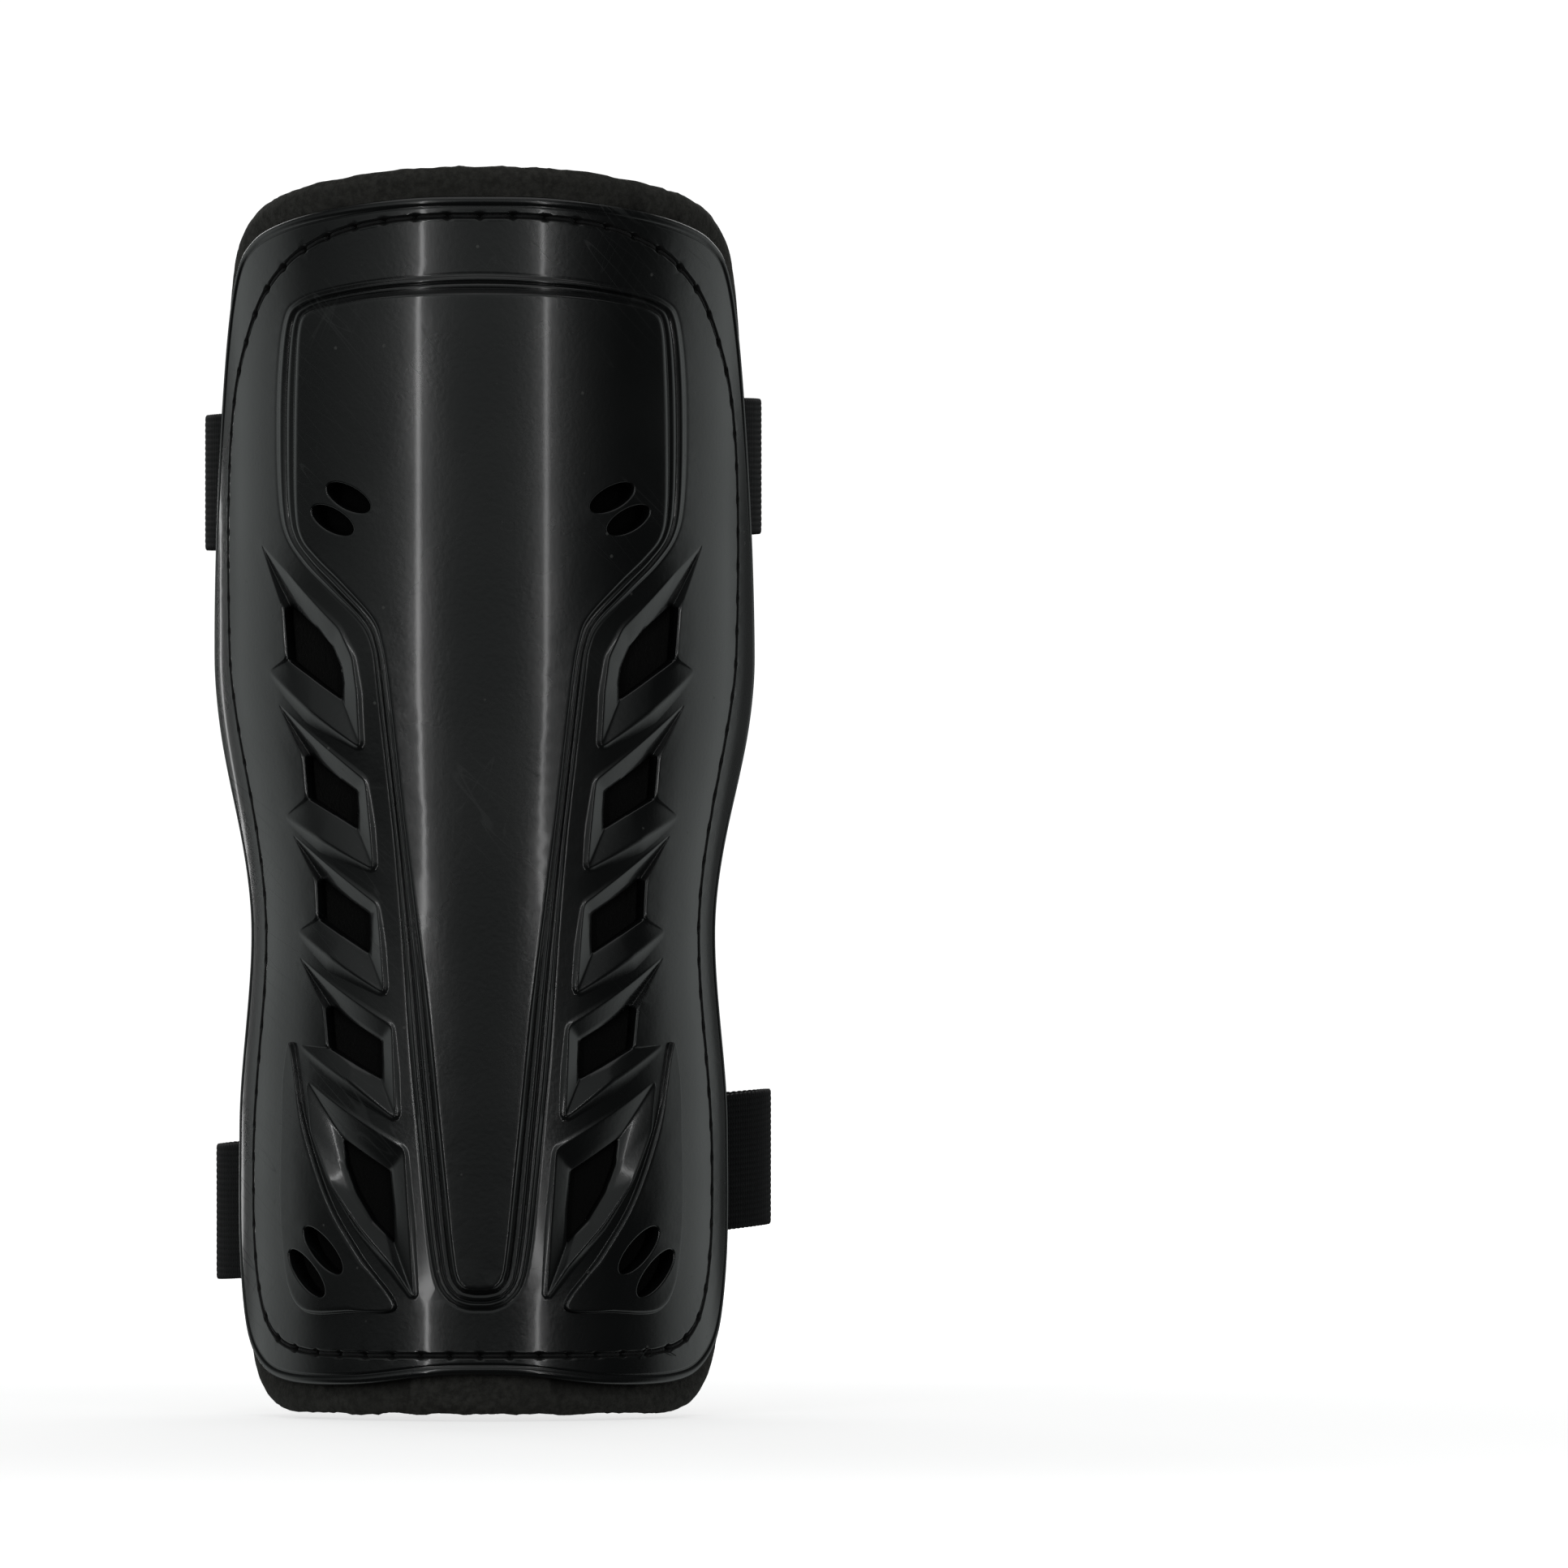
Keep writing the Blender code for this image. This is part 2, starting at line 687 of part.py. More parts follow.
def make_strap(level, strap):
    """Both halves of one strap. Depths behind the leg grow outward: loop tape, hook tape, elastic."""
    loop_depth = strap["depth"] + LINING_IN
    hook_depth = loop_depth + TAPE_THICK + GAP
    left_back = hook_depth + ELASTIC_THICK / 2
    right_back = hook_depth + TAPE_THICK + GAP + ELASTIC_THICK / 2

    right_start = flex_point(strap, 1)
    hook_flex = pivot_at(f"{level}_hook_strap_flex", right_start)
    path = curve_back(right_start, strap["steer_right"], right_back, 1)
    path.append(Vector((TAB_FLEX + FLEX_ROOM, right_back)))
    anchor(f"{level}_right_anchor", strap, 1)
    elastic = ribbon(path, ELASTIC_THICK, ELASTIC_WIDTH, strap)
    finish(f"{level}_right_elastic", elastic, WEBBING, hook_flex)
    hook_tape = tape(HOOK_TAPE_END, HOOK_TAPE_START, hook_depth, strap, False)
    finish(f"{level}_hook_tape", hook_tape, HOOKS, hook_flex)
    thread_depth = right_back + ELASTIC_THICK / 2 + GAP
    sewn_end = TAB_FLEX + FLEX_ROOM + STITCH_INSET
    thread = box_stitch(sewn_end, HOOK_TAPE_START - STITCH_INSET, thread_depth, strap)
    finish(f"{level}_hook_stitching", thread, THREAD, hook_flex)

    tab_start = Vector((TAB_FLEX, right_back))
    tab_flex = pivot_at(
        f"{level}_pull_tab_flex",
        Vector((*tab_start, anchor_height(strap, TAB_FLEX))),
        hook_flex,
    )
    tab_end = tab_start + Vector((-math.cos(TAB_SLOPE), math.sin(TAB_SLOPE))) * TAB_LENGTH
    tab = ribbon(turned_back(tab_start, tab_end), ELASTIC_THICK, ELASTIC_WIDTH, strap)
    finish(f"{level}_pull_tab", tab, WEBBING, tab_flex)

    left_start = flex_point(strap, -1)
    loop_flex = pivot_at(f"{level}_loop_strap_flex", left_start)
    path = curve_back(left_start, strap["steer_left"], left_back, -1)
    path += turned_back(path.pop(), Vector((LEFT_FOLD, left_back)))
    anchor(f"{level}_left_anchor", strap, -1)
    elastic = ribbon(path, ELASTIC_THICK, ELASTIC_WIDTH, strap)
    finish(f"{level}_left_elastic", elastic, WEBBING, loop_flex)
    loop_tape = tape(LOOP_TAPE_START, LOOP_TAPE_END, loop_depth, strap, True)
    finish(f"{level}_loop_tape", loop_tape, LOOPS, loop_flex)
    thread_depth = left_back + ELASTIC_THICK / 2 + GAP
    fold_end = LEFT_FOLD - FOLD_LENGTH
    sewn_start = LOOP_TAPE_START + STITCH_INSET
    thread = box_stitch(sewn_start, fold_end - STITCH_INSET, thread_depth, strap)
    finish(f"{level}_loop_stitching", thread, THREAD, loop_flex)


for startup_object in list(bpy.data.objects):
    bpy.data.objects.remove(startup_object)
make_shell()
make_pad()
make_seams()
for level, strap in STRAPS.items():
    make_strap(level, strap)
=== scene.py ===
"""Shin guard, dressed for its portrait: a glossy moulded shell stitched through a brushed, foam filled
pad, with two elastic straps that close behind the calf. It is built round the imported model's frame.

Layouts are drawn flat, as (degrees round the leg, mm up from mid-height), and then bent round the leg.
"""

import json
import math

import bmesh
import bpy
import numpy as np
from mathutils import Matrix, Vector, noise
from mathutils.geometry import delaunay_2d_cdt, interpolate_bezier
from mathutils.kdtree import KDTree


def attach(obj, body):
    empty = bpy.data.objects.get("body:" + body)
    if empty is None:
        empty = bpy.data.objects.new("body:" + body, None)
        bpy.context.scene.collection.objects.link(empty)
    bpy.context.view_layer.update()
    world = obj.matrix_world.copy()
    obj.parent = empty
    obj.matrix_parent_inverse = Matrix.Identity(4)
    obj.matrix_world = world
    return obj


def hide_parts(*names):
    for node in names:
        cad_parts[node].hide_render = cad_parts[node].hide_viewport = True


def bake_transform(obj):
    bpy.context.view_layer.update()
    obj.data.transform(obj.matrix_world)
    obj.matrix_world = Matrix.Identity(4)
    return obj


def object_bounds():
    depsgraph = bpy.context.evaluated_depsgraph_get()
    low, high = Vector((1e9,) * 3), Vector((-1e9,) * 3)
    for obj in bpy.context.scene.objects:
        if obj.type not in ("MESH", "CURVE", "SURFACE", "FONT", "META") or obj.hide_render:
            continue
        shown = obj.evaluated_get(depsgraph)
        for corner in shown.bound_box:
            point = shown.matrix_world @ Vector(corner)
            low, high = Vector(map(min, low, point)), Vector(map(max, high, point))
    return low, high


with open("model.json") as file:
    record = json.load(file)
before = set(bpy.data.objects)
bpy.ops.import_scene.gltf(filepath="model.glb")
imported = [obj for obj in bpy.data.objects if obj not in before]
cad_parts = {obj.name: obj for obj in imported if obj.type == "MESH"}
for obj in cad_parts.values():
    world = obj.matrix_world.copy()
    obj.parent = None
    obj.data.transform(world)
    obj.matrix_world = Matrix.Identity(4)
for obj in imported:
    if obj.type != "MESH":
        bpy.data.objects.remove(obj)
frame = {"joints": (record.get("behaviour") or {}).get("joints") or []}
cad_box = [list(corner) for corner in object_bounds()]
MM = 0.001


# --- The room ---
# A pale floor under the guard, a surround that is white to the camera, and softboxes: two tall narrow
# tubes in front, each inside a fainter glow, which draw the two bright lines down the shell, and others
# above and behind.

scene = bpy.context.scene
scene.view_settings.view_transform = "Standard"

FRAME_WIDTH = 0.291  # what the picture spans at the guard's depth, in metres
GUARD_DEPTH = 0.02
lens = bpy.data.cameras.new("camera")
lens.lens, lens.sensor_width = 400, 36
lens.clip_end = 50
camera = bpy.data.objects.new("camera", lens)
camera.location = (0.0559, GUARD_DEPTH - FRAME_WIDTH * lens.lens / lens.sensor_width, 0.0012)
camera.rotation_euler = (math.radians(90), 0, 0)
scene.collection.objects.link(camera)
scene.camera = camera


# A Wire is a socket of a node tree, with the arithmetic that combines it with numbers and other Wires.
class Wire:
    def __init__(self, tree, socket=None):
        self.tree, self.socket = tree, socket

    def node(self, kind, settings=None, inputs=None, output=0):
        """Adds a node: its settings first, then the values or Wires of its sockets."""
        made = self.tree.nodes.new(kind)
        for name, value in (settings or {}).items():
            setattr(made, name, value)
        for name, value in (inputs or {}).items():
            if isinstance(value, Wire):
                self.tree.links.new(value.socket, made.inputs[name])
            else:
                made.inputs[name].default_value = value
        return Wire(self.tree, made.outputs[output])

    def maths(self, operation, first, second=0.0):
        return self.node("ShaderNodeMath", {"operation": operation}, {0: first, 1: second})

    def __add__(self, other):
        return self.maths("ADD", self, other)

    def __sub__(self, other):
        return self.maths("SUBTRACT", self, other)

    def __rsub__(self, other):
        return self.maths("SUBTRACT", other, self)

    def __mul__(self, other):
        return self.maths("MULTIPLY", self, other)

    def above(self, low, high, reach=1.0):
        """0 below low, reach above high, and a smooth step between."""
        return self.node(
            "ShaderNodeMapRange", {"interpolation_type": "SMOOTHSTEP"},
            {"Value": self, "From Min": low, "From Max": high, "To Min": 0.0, "To Max": reach},
        )

    __radd__, __rmul__ = __add__, __mul__


def finish_of(name, **steady):
    """A new material with steady values on its shader, then its shader, a starting Wire and its place."""
    material = bpy.data.materials.new(name)
    material.use_nodes = True
    surface = material.node_tree.nodes["Principled BSDF"]
    for socket, value in steady.items():
        surface.inputs[socket.replace("_", " ")].default_value = value
    start = Wire(material.node_tree)
    return material, surface, start, start.node("ShaderNodeTexCoord", output="Object")


def plug(surface, **wires):
    """Drives a shader's sockets by Wires."""
    for socket, wire in wires.items():
        wire.tree.links.new(wire.socket, surface.inputs[socket.replace("_", " ")])


def mixed(start, share, first, second):
    """One colour over another by a share from 0 to 1."""
    return start.node(
        "ShaderNodeMix", {"data_type": "RGBA"}, {0: share, 6: first, 7: second}, output=2
    )


def show(mesh, name, material):
    """A finished object from a mesh, smooth shaded, with its material."""
    data = bpy.data.meshes.new(name)
    mesh.to_mesh(data)
    mesh.free()
    data.shade_smooth()
    data.materials.append(material)
    piece = bpy.data.objects.new(name, data)
    scene.collection.objects.link(piece)
    return piece


# The floor glows with painted light, less near the guard and brighter away from it, to meet the surround
# without an edge.
room = bmesh.new()
bmesh.ops.create_grid(room, x_segments=2, y_segments=2, size=2.2)
bmesh.ops.translate(room, verts=room.verts, vec=(0, 0, cad_box[0][2] - 0.4 * MM))
pale_finish, surface, start, place = finish_of(
    "pale_floor", Base_Color=(0.86, 0.86, 0.86, 1), Roughness=0.9, Emission_Strength=1.05,
)
far = start.node("ShaderNodeVectorMath", {"operation": "LENGTH"}, {0: place}, "Value").above(0.15, 0.8)
plug(surface, Emission_Color=mixed(start, far, (0.62, 0.62, 0.62, 1), (1, 1, 1, 1)))
floor = show(room, "floor", pale_finish)
floor.visible_glossy = floor.visible_diffuse = False

# To the guard the surround is dim, with a soft glow in front and broad ones at both sides that reach
# down past the floor.
surround = bpy.data.worlds.new("surround")
surround.use_nodes = True
scene.world = surround
start = Wire(surround.node_tree)
way = start.node("ShaderNodeTexCoord")
aside, ahead, up = (start.node("ShaderNodeSeparateXYZ", None, {"Vector": way}, k) for k in range(3))
turn = start.maths("ARCTAN2", aside, ahead * -1) * math.degrees(1)
lift = start.maths("ARCSINE", up) * math.degrees(1)
front = (turn.above(-110, -30) - turn.above(8, 62)) * (lift.above(-2.5, 1.2) - lift.above(30, 80, 0.8))
wide = start.maths("ABSOLUTE", turn)
sides = (wide.above(80, 106) - wide.above(126, 150)) * (lift.above(-85, -55) - lift.above(0, 38))
glow = front * 0.28 + sides * 0.48 + 0.03
unseen = start.node("ShaderNodeBackground", None, {"Color": (0.94, 1, 0.985, 1), "Strength": glow})
seen = start.node("ShaderNodeBackground", None, {"Color": (1, 1, 1, 1), "Strength": 1.1})
ray = start.node("ShaderNodeLightPath")
choice = start.node("ShaderNodeMixShader", None, {0: ray, 1: unseen, 2: seen})
start.tree.links.new(choice.socket, start.tree.nodes["World Output"].inputs["Surface"])


def softbox(name, azimuth, elevation, distance, width, height, brightness):
    """A softbox that faces the guard, at an azimuth from the camera's side, of a given radiance."""
    lamp = bpy.data.lights.new(name, "AREA")
    lamp.shape = "RECTANGLE"
    lamp.size, lamp.size_y = width, height
    lamp.energy = brightness * math.pi * width * height
    box = bpy.data.objects.new(name, lamp)
    turn, lift = math.radians(azimuth), math.radians(elevation)
    away = Vector((math.sin(turn) * math.cos(lift), -math.cos(turn) * math.cos(lift), math.sin(lift)))
    box.location = away * distance
    box.rotation_euler = away.to_track_quat("Z", "Y").to_euler()
    box.visible_camera = False
    scene.collection.objects.link(box)


softbox("left_tube", -26, 0, 1.6, 0.035, 1.7, 15)
softbox("right_tube", 26, 0, 1.6, 0.035, 1.7, 10)
softbox("left_glow", -26, 0, 1.7, 0.3, 1.7, 0.25)
softbox("right_glow", 26, 0, 1.7, 0.3, 1.7, 0.3)
softbox("overhead", 0, 88, 1.5, 1.6, 1.6, 0.5)
softbox("behind", 180, 28, 2.0, 2.4, 1.2, 1.3)
softbox("behind_left", -155, 5, 1.8, 0.1, 1.6, 1.5)


# --- The outer shell ---
# One piece of hard black plastic about 2.4 mm thick, moulded with a raised front panel inside a double
# bead, five hooded vents and two pairs of oval slots on each side, and a beaded edge. It is sewn to the
# pad through a narrow groove. Its relief is drawn as closed rings on the flat and filled between them.

CALF_RADIUS, WAIST_RADIUS, ANKLE_RADIUS = 50.2, 43.8, 45.9
CALF_UP, WAIST_UP, ANKLE_UP = 25, -26, -62
LINING_FACE = -9.5  # the lining's inner face, from the shell's outside
WALL = 2.4
PANEL_RISE, CORNER_RISE = 3.0, 1.0


def soft(share):
    """A share that eases in from 0 and out to 1."""
    share = np.clip(share, 0, 1)
    return share * share * (3 - 2 * share)


def leg_radius(up):
    """Radius of the shell's outside at a height, in mm."""
    above = WAIST_RADIUS + (CALF_RADIUS - WAIST_RADIUS) * soft((up - WAIST_UP) / (CALF_UP - WAIST_UP))
    below = ANKLE_RADIUS + (WAIST_RADIUS - ANKLE_RADIUS) * soft((up - ANKLE_UP) / (WAIST_UP - ANKLE_UP))
    return np.where(up > WAIST_UP, above, below)


def round_leg(flat):
    """Points of (mm along, mm out from the shell, mm up) bent round the leg, in metres."""
    along, out, up = np.asarray(flat, float).T
    radius, angle = leg_radius(up), along / CALF_RADIUS
    reach = radius + out
    bent = (reach * np.sin(angle), radius - reach * np.cos(angle) + LINING_FACE, up)
    return np.stack(bent, axis=1) * MM


def lay(points):
    """Layout points as mm along and mm up."""
    places = np.array(points, float)
    places[:, 0] *= math.radians(1) * CALF_RADIUS
    return places


def mirrored(half):
    """A whole outline from its right half, drawn from the top of the ridge to the bottom."""
    return np.concatenate([half, half[-2:0:-1] * (-1, 1)])


def flowing(outline, steps):
    """A closed outline with rounded stretches between its points, a given number of steps each."""
    before, after = np.roll(outline, 1, axis=0), np.roll(outline, -1, axis=0)
    last = np.roll(outline, -2, axis=0)
    rows = [
        0.5 * (
            2 * outline + (after - before) * t
            + (2 * before - 5 * outline + 4 * after - last) * t**2
            + (3 * outline - before - 3 * after + last) * t**3
        )
        for t in np.arange(steps) / steps
    ]
    return np.stack(rows, axis=1).reshape(-1, outline.shape[1])


def outward(outline):
    """Unit normals of a closed outline, away from its inside."""
    ahead = np.roll(outline, -1, axis=0) - np.roll(outline, 1, axis=0)
    normals = np.stack([-ahead[:, 1], ahead[:, 0]], axis=1)
    normals /= np.linalg.norm(normals, axis=1, keepdims=True) + 1e-9
    x, z = outline.T
    clockwise = np.sum(x * np.roll(z, -1) - np.roll(x, -1) * z) < 0
    return normals if clockwise else -normals


def ring(mesh, outline, heights):
    heights = np.broadcast_to(heights, len(outline))
    return [mesh.verts.new((x, out, z)) for (x, z), out in zip(outline, heights)]


def skin(mesh, rings):
    """Joins each closed ring to the next."""
    for first, second in zip(rings, rings[1:]):
        for i in range(len(first)):
            mesh.faces.new((first[i - 1], first[i], second[i], second[i - 1]))


def inside(points, loop):
    x, z = points.T
    within = np.zeros(len(points), bool)
    for (x0, z0), (x1, z1) in zip(loop, np.roll(loop, -1, axis=0)):
        if z0 != z1:
            within ^= ((z0 > z) != (z1 > z)) & (x < x0 + (z - z0) * (x1 - x0) / (z1 - z0))
    return within


def flat_of(loop):
    return np.array([(vert.co.x, vert.co.z) for vert in loop])


def fill(mesh, border, holes, spacing, height):
    """Triangles between a border ring and the rings of its holes, with points spread over the middle.
    height is a number, or a function of flat points."""
    loops = [border, *holes]
    flats = [flat_of(loop) for loop in loops]
    low, high = flats[0].min(axis=0), flats[0].max(axis=0)
    rows = np.arange(low[1] + spacing / 2, high[1], spacing * 0.87)
    columns = np.arange(low[0], high[0] + spacing, spacing)
    spread = np.array([(x - (k % 2) * spacing / 2, z) for k, z in enumerate(rows) for x in columns])
    keep = inside(spread, flats[0])
    for hole in flats[1:]:
        keep &= ~inside(spread, hole)
    verts = [vert for loop in loops for vert in loop]
    near = KDTree(len(verts))
    for i, vert in enumerate(verts):
        near.insert((vert.co.x, 0, vert.co.z), i)
    near.balance()
    spread = [
        point for point in spread[keep] if near.find((point[0], 0, point[1]))[2] > spacing * 0.6
    ]
    if spread:
        heights = height(np.array(spread)) if callable(height) else [height] * len(spread)
        verts += [mesh.verts.new((x, out, z)) for (x, z), out in zip(spread, heights)]
    edges, start = [], 0
    for loop in loops:
        edges += [(start + i, start + (i + 1) % len(loop)) for i in range(len(loop))]
        start += len(loop)
    places = [Vector((vert.co.x, vert.co.z)) for vert in verts]
    made = delaunay_2d_cdt(places, edges, [], 1, 1e-6)
    faces = np.array(made[2])
    middles = np.array(made[0])[faces].mean(axis=1)
    keep = inside(middles, flats[0])
    for hole in flats[1:]:
        keep &= ~inside(middles, hole)
    for face in faces[keep]:
        corners = [verts[made[3][corner][0]] for corner in face]
        if mesh.faces.get(corners) is None:
            mesh.faces.new(corners)


def bend(mesh):
    """Bends a flat mesh round the leg, and turns its faces outward."""
    for vert, place in zip(mesh.verts, round_leg([vert.co for vert in mesh.verts])):
        vert.co = place
    bmesh.ops.recalc_face_normals(mesh, faces=mesh.faces)


SHELL_EDGE = [
    (0, 109.3), (15.7, 109), (34, 107.2), (48.6, 104.8), (58.4, 101.8), (65.5, 96.5), (71.5, 84),
    (79.5, 58), (86, 37), (90.4, 23), (89.6, 12), (85.5, 2.5), (81.5, -9), (79.2, -26), (79.4, -45),
    (81, -64), (81.6, -77), (79.5, -88), (73, -100), (63, -106.8), (50.7, -109.4), (30.4, -109.5),
    (11.4, -107.8), (0, -107.5),
]
SEAM_LINE = [
    (0, 105.6), (14, 105.4), (28.7, 103.6), (41, 99.8), (49, 95.3), (55.3, 90), (61.5, 82), (66.2, 74),
    (69.2, 64), (70.6, 52), (70.6, 38), (69.6, 25), (67.8, 13), (66.6, -2), (66.4, -20), (66, -38),
    (66.6, -55), (68, -69), (67.2, -84), (63, -95), (56, -101), (46, -103.4), (30, -104), (12, -104),
    (0, -104),
]
PANEL_FOOT = [
    (0, 94.8), (18, 94), (33, 92.3), (42, 90.3), (46, 87), (48, 77), (48.4, 64), (47.6, 53), (45.5, 47),
    (40.5, 42), (33.7, 37), (26, 31), (23.3, 26.5), (22.3, 20.5), (21.3, 9), (20.4, -5), (19.3, -22),
    (17, -42), (14.5, -60), (12.6, -75.5), (11.4, -84), (9.8, -90.5), (6.9, -93.8), (3.3, -95.2),
    (0, -95.4),
]
PANEL_FACE = [
    (0, 91), (17, 90.6), (29, 89.4), (36, 88), (38.5, 85.5), (39.3, 77), (39.7, 64), (39.6, 52),
    (38.3, 46.7), (34.5, 43), (28.5, 38.3), (21.8, 32), (19.8, 27.5), (18.5, 21), (17.4, 9), (16.4, -5),
    (14.5, -22), (11, -42), (8.6, -60), (6.8, -75), (5.7, -84), (4.8, -89), (3.2, -91), (1.5, -91.3),
    (0, -91.4),
]
CORNER_PAD = [
    (50.7, -46.5), (44.2, -62.6), (36.8, -75.8), (28.4, -85.6), (19.5, -95.2), (32, -96.2), (44.2, -96.3),
    (49.8, -92.6), (52.6, -84.5), (53.6, -74.1), (52.8, -58),
]
# Each vent, point by point: the hood's crest and the opening, both as (degrees, mm up), the height of the
# crest, the height of the opening's edge, and how far the crest takes to fall off outside.
VENTS = [
    [
        (27, 8, 31.9, 16.8, 0.5, -1.3, 1.0), (27, 18, 32, 20, 0.45, -1.6, 1.2),
        (28, 24.5, 32.6, 23.2, 0.35, -1.7, 1.1), (31.5, 30, 34.6, 26.6, 0.2, -1.7, 0.9),
        (38.4, 35, 38.5, 29.7, 0.1, -1.7, 0.7), (46, 40.5, 42.5, 32, 0, -1.7, 0.5),
        (54.6, 45.8, 46.7, 34.1, 0, -1.7, 0.3), (47.5, 34.2, 47.0, 33.7, 0, -0.25, 0.3),
        (46.2, 24.4, 45.8, 24.3, 0, -0.25, 0.3), (51.6, 22.1, 45.6, 24, 0, -0.35, 0.8),
        (38.9, 15, 39.5, 20.9, 0.8, -0.8, 3.0),
    ],
    [
        (26.6, 1.9, 30.5, -0.2, 0.2, -1.7, 0.9), (49.3, 16.2, 42.5, 6.3, 0, -1.7, 0.3),
        (43.4, 6.5, 42.9, 6.2, 0, -0.25, 0.3), (43.9, -1.4, 43.4, -1.4, 0, -0.25, 0.3),
        (51.7, -4.8, 43.2, -1.6, 0, -0.35, 0.8), (40, -8.6, 37.5, -4.0, 0.8, -0.8, 3.0),
        (26, -14.4, 30.8, -7, 0.5, -1.3, 1.0), (26.2, -6.5, 30.65, -3.6, 0.45, -1.6, 1.3),
    ],
    [
        (25.7, -20.9, 29.2, -22.8, 0.2, -1.7, 0.9), (50.1, -8, 43.3, -16.5, 0, -1.7, 0.3),
        (44.0, -16.4, 43.5, -16.7, 0, -0.25, 0.3), (44.1, -23.6, 43.6, -23.6, 0, -0.25, 0.3),
        (50.6, -26, 43.4, -23.9, 0, -0.35, 0.8), (38.5, -30.4, 36.4, -26.8, 0.8, -0.8, 3.0),
        (23.4, -37.2, 29, -29.9, 0.5, -1.3, 1.0), (24.6, -29, 29.1, -26.4, 0.45, -1.6, 1.3),
    ],
    [
        (21.3, -43.3, 25.1, -46.2, 0.2, -1.7, 0.9), (50.2, -30.6, 40.3, -39.9, 0, -1.7, 0.3),
        (41.0, -39.9, 40.5, -40.3, 0, -0.25, 0.3), (39.2, -47.3, 38.7, -47.4, 0, -0.25, 0.3),
        (47.9, -47, 38.5, -47.7, 0, -0.35, 0.8), (31, -53.5, 31.5, -50.3, 0.8, -0.8, 2.8),
        (19.6, -60.3, 24.4, -53.1, 0.5, -1.3, 1.0), (20.4, -52, 24.7, -49.6, 0.45, -1.6, 1.3),
    ],
    [
        (17.7, -66, 22.3, -70.1, 0.2, -1.7, 0.9), (44.8, -53.6, 35, -64.3, 0, -1.7, 0.3),
        (42.8, -62.6, 33.6, -69, 0.6, -0.9, 0.6), (37, -71.9, 30.7, -74, 0.9, -0.9, 0.7),
        (28.6, -80.2, 26, -79.3, 0.9, -0.9, 1.6), (20, -87.6, 22.9, -81.6, 0.7, -1.0, 1.8),
        (15.3, -93.4, 20.9, -83.3, 0.45, -1.3, 0.9), (16.4, -80, 21.5, -76.6, 0.45, -1.6, 1.2),
    ],
]
SLOTS = [
    (27.3, 53.9, 4.7, 2.05, 27), (31, 49.8, 4.7, 2.05, 27),
    (38.7, -84.8, 6.2, 2.3, 39), (43.7, -89.1, 6.2, 2.3, 39),
]

shell_edge = flowing(mirrored(lay(SHELL_EDGE)), 12)
seam_path = flowing(mirrored(lay(SEAM_LINE)), 24)
panel_foot = flowing(mirrored(lay(PANEL_FOOT)), 8)
panel_face = flowing(mirrored(lay(PANEL_FACE)), 8)

# The seam's needle holes are evenly spaced, and the thread dips into them.
STITCH = 6.1
seam_steps = np.linalg.norm(np.roll(seam_path, -1, axis=0) - seam_path, axis=1)
seam_run = np.concatenate([[0], np.cumsum(seam_steps)])
stitch_count = round(seam_run[-1] / STITCH)
stitch_length = seam_run[-1] / stitch_count


def seam_place(run):
    """(mm along, mm up) at a distance along the seam, and the seam's outward direction there."""
    run = np.asarray(run) % seam_run[-1]
    closed = np.concatenate([seam_path, seam_path[:1]])
    aside = outward(seam_path)
    aside = np.concatenate([aside, aside[:1]])
    place = np.stack([np.interp(run, seam_run, closed[:, k]) for k in (0, 1)], axis=-1)
    away = np.stack([np.interp(run, seam_run, aside[:, k]) for k in (0, 1)], axis=-1)
    return place, away


def vent_rings(mesh, points):
    """The rings of one vent: the crest's outer slope, its crest, the hood down to the opening, and the
    opening's cut edge. Returns the outermost and the innermost."""
    rows = []
    places = np.array(points, float)
    places[:, [0, 2]] *= math.radians(1) * CALF_RADIUS
    for start, end in zip(places, np.roll(places, -1, axis=0)):
        longest = max(np.hypot(*(end - start)[:2]), np.hypot(*(end - start)[2:4]))
        steps = max(2, math.ceil(longest / 0.65))
        rows += [start + (end - start) * step / steps for step in range(steps)]
    rows = np.array(rows)
    for _ in range(2):
        rows = (np.roll(rows, 1, axis=0) + 2 * rows + np.roll(rows, -1, axis=0)) / 4
    crest, opening, crest_up, edge_up, fall = rows[:, :2], rows[:, 2:4], rows[:, 4], rows[:, 5], rows[:, 6]
    away = outward(crest)
    rings = [ring(mesh, crest + away * (fall[:, None] + 0.14), 0)]
    rings += [
        ring(mesh, crest + away * fall[:, None] * share, crest_up * rise)
        for share, rise in ((1, 0), (0.62, 0.22), (0.28, 0.72), (0.08, 0.97))
    ]
    for share, sunk in ((0.04, 0), (0.12, 0.0), (0.4, 0), (0.7, 0), (0.93, 0.02), (1, 0.18)):
        outline = crest + (opening - crest) * share
        rings.append(ring(mesh, outline, crest_up + (edge_up - crest_up) * share - sunk))
    rings.append(ring(mesh, opening, -WALL))
    skin(mesh, rings)
    return rings[0], rings[-1]


def slot_rings(mesh, degrees, up, half_length, half_width, tilt, surface, back, side):
    """The rings of one oval slot, from its eased rim on the surface through to the wall's back."""
    centre = lay([(degrees, up)])[0]
    turn = math.radians(tilt)
    angles = np.linspace(0, 2 * math.pi, 40, endpoint=False)
    rings = []
    for wider, out in ((0.42, 0), (0.3, 0), (0.18, -0.04), (0.06, -0.16), (0, -0.4)):
        x, z = (half_length + wider) * np.cos(angles), (half_width + wider) * np.sin(angles)
        outline = centre + np.stack(
            [x * math.cos(turn) - z * math.sin(turn), x * math.sin(turn) + z * math.cos(turn)], axis=1
        )
        outline *= (side, 1)
        rings.append(ring(mesh, outline, surface + out))
    rings.append(ring(mesh, outline, back))
    skin(mesh, rings)
    return rings[0], rings[-1]


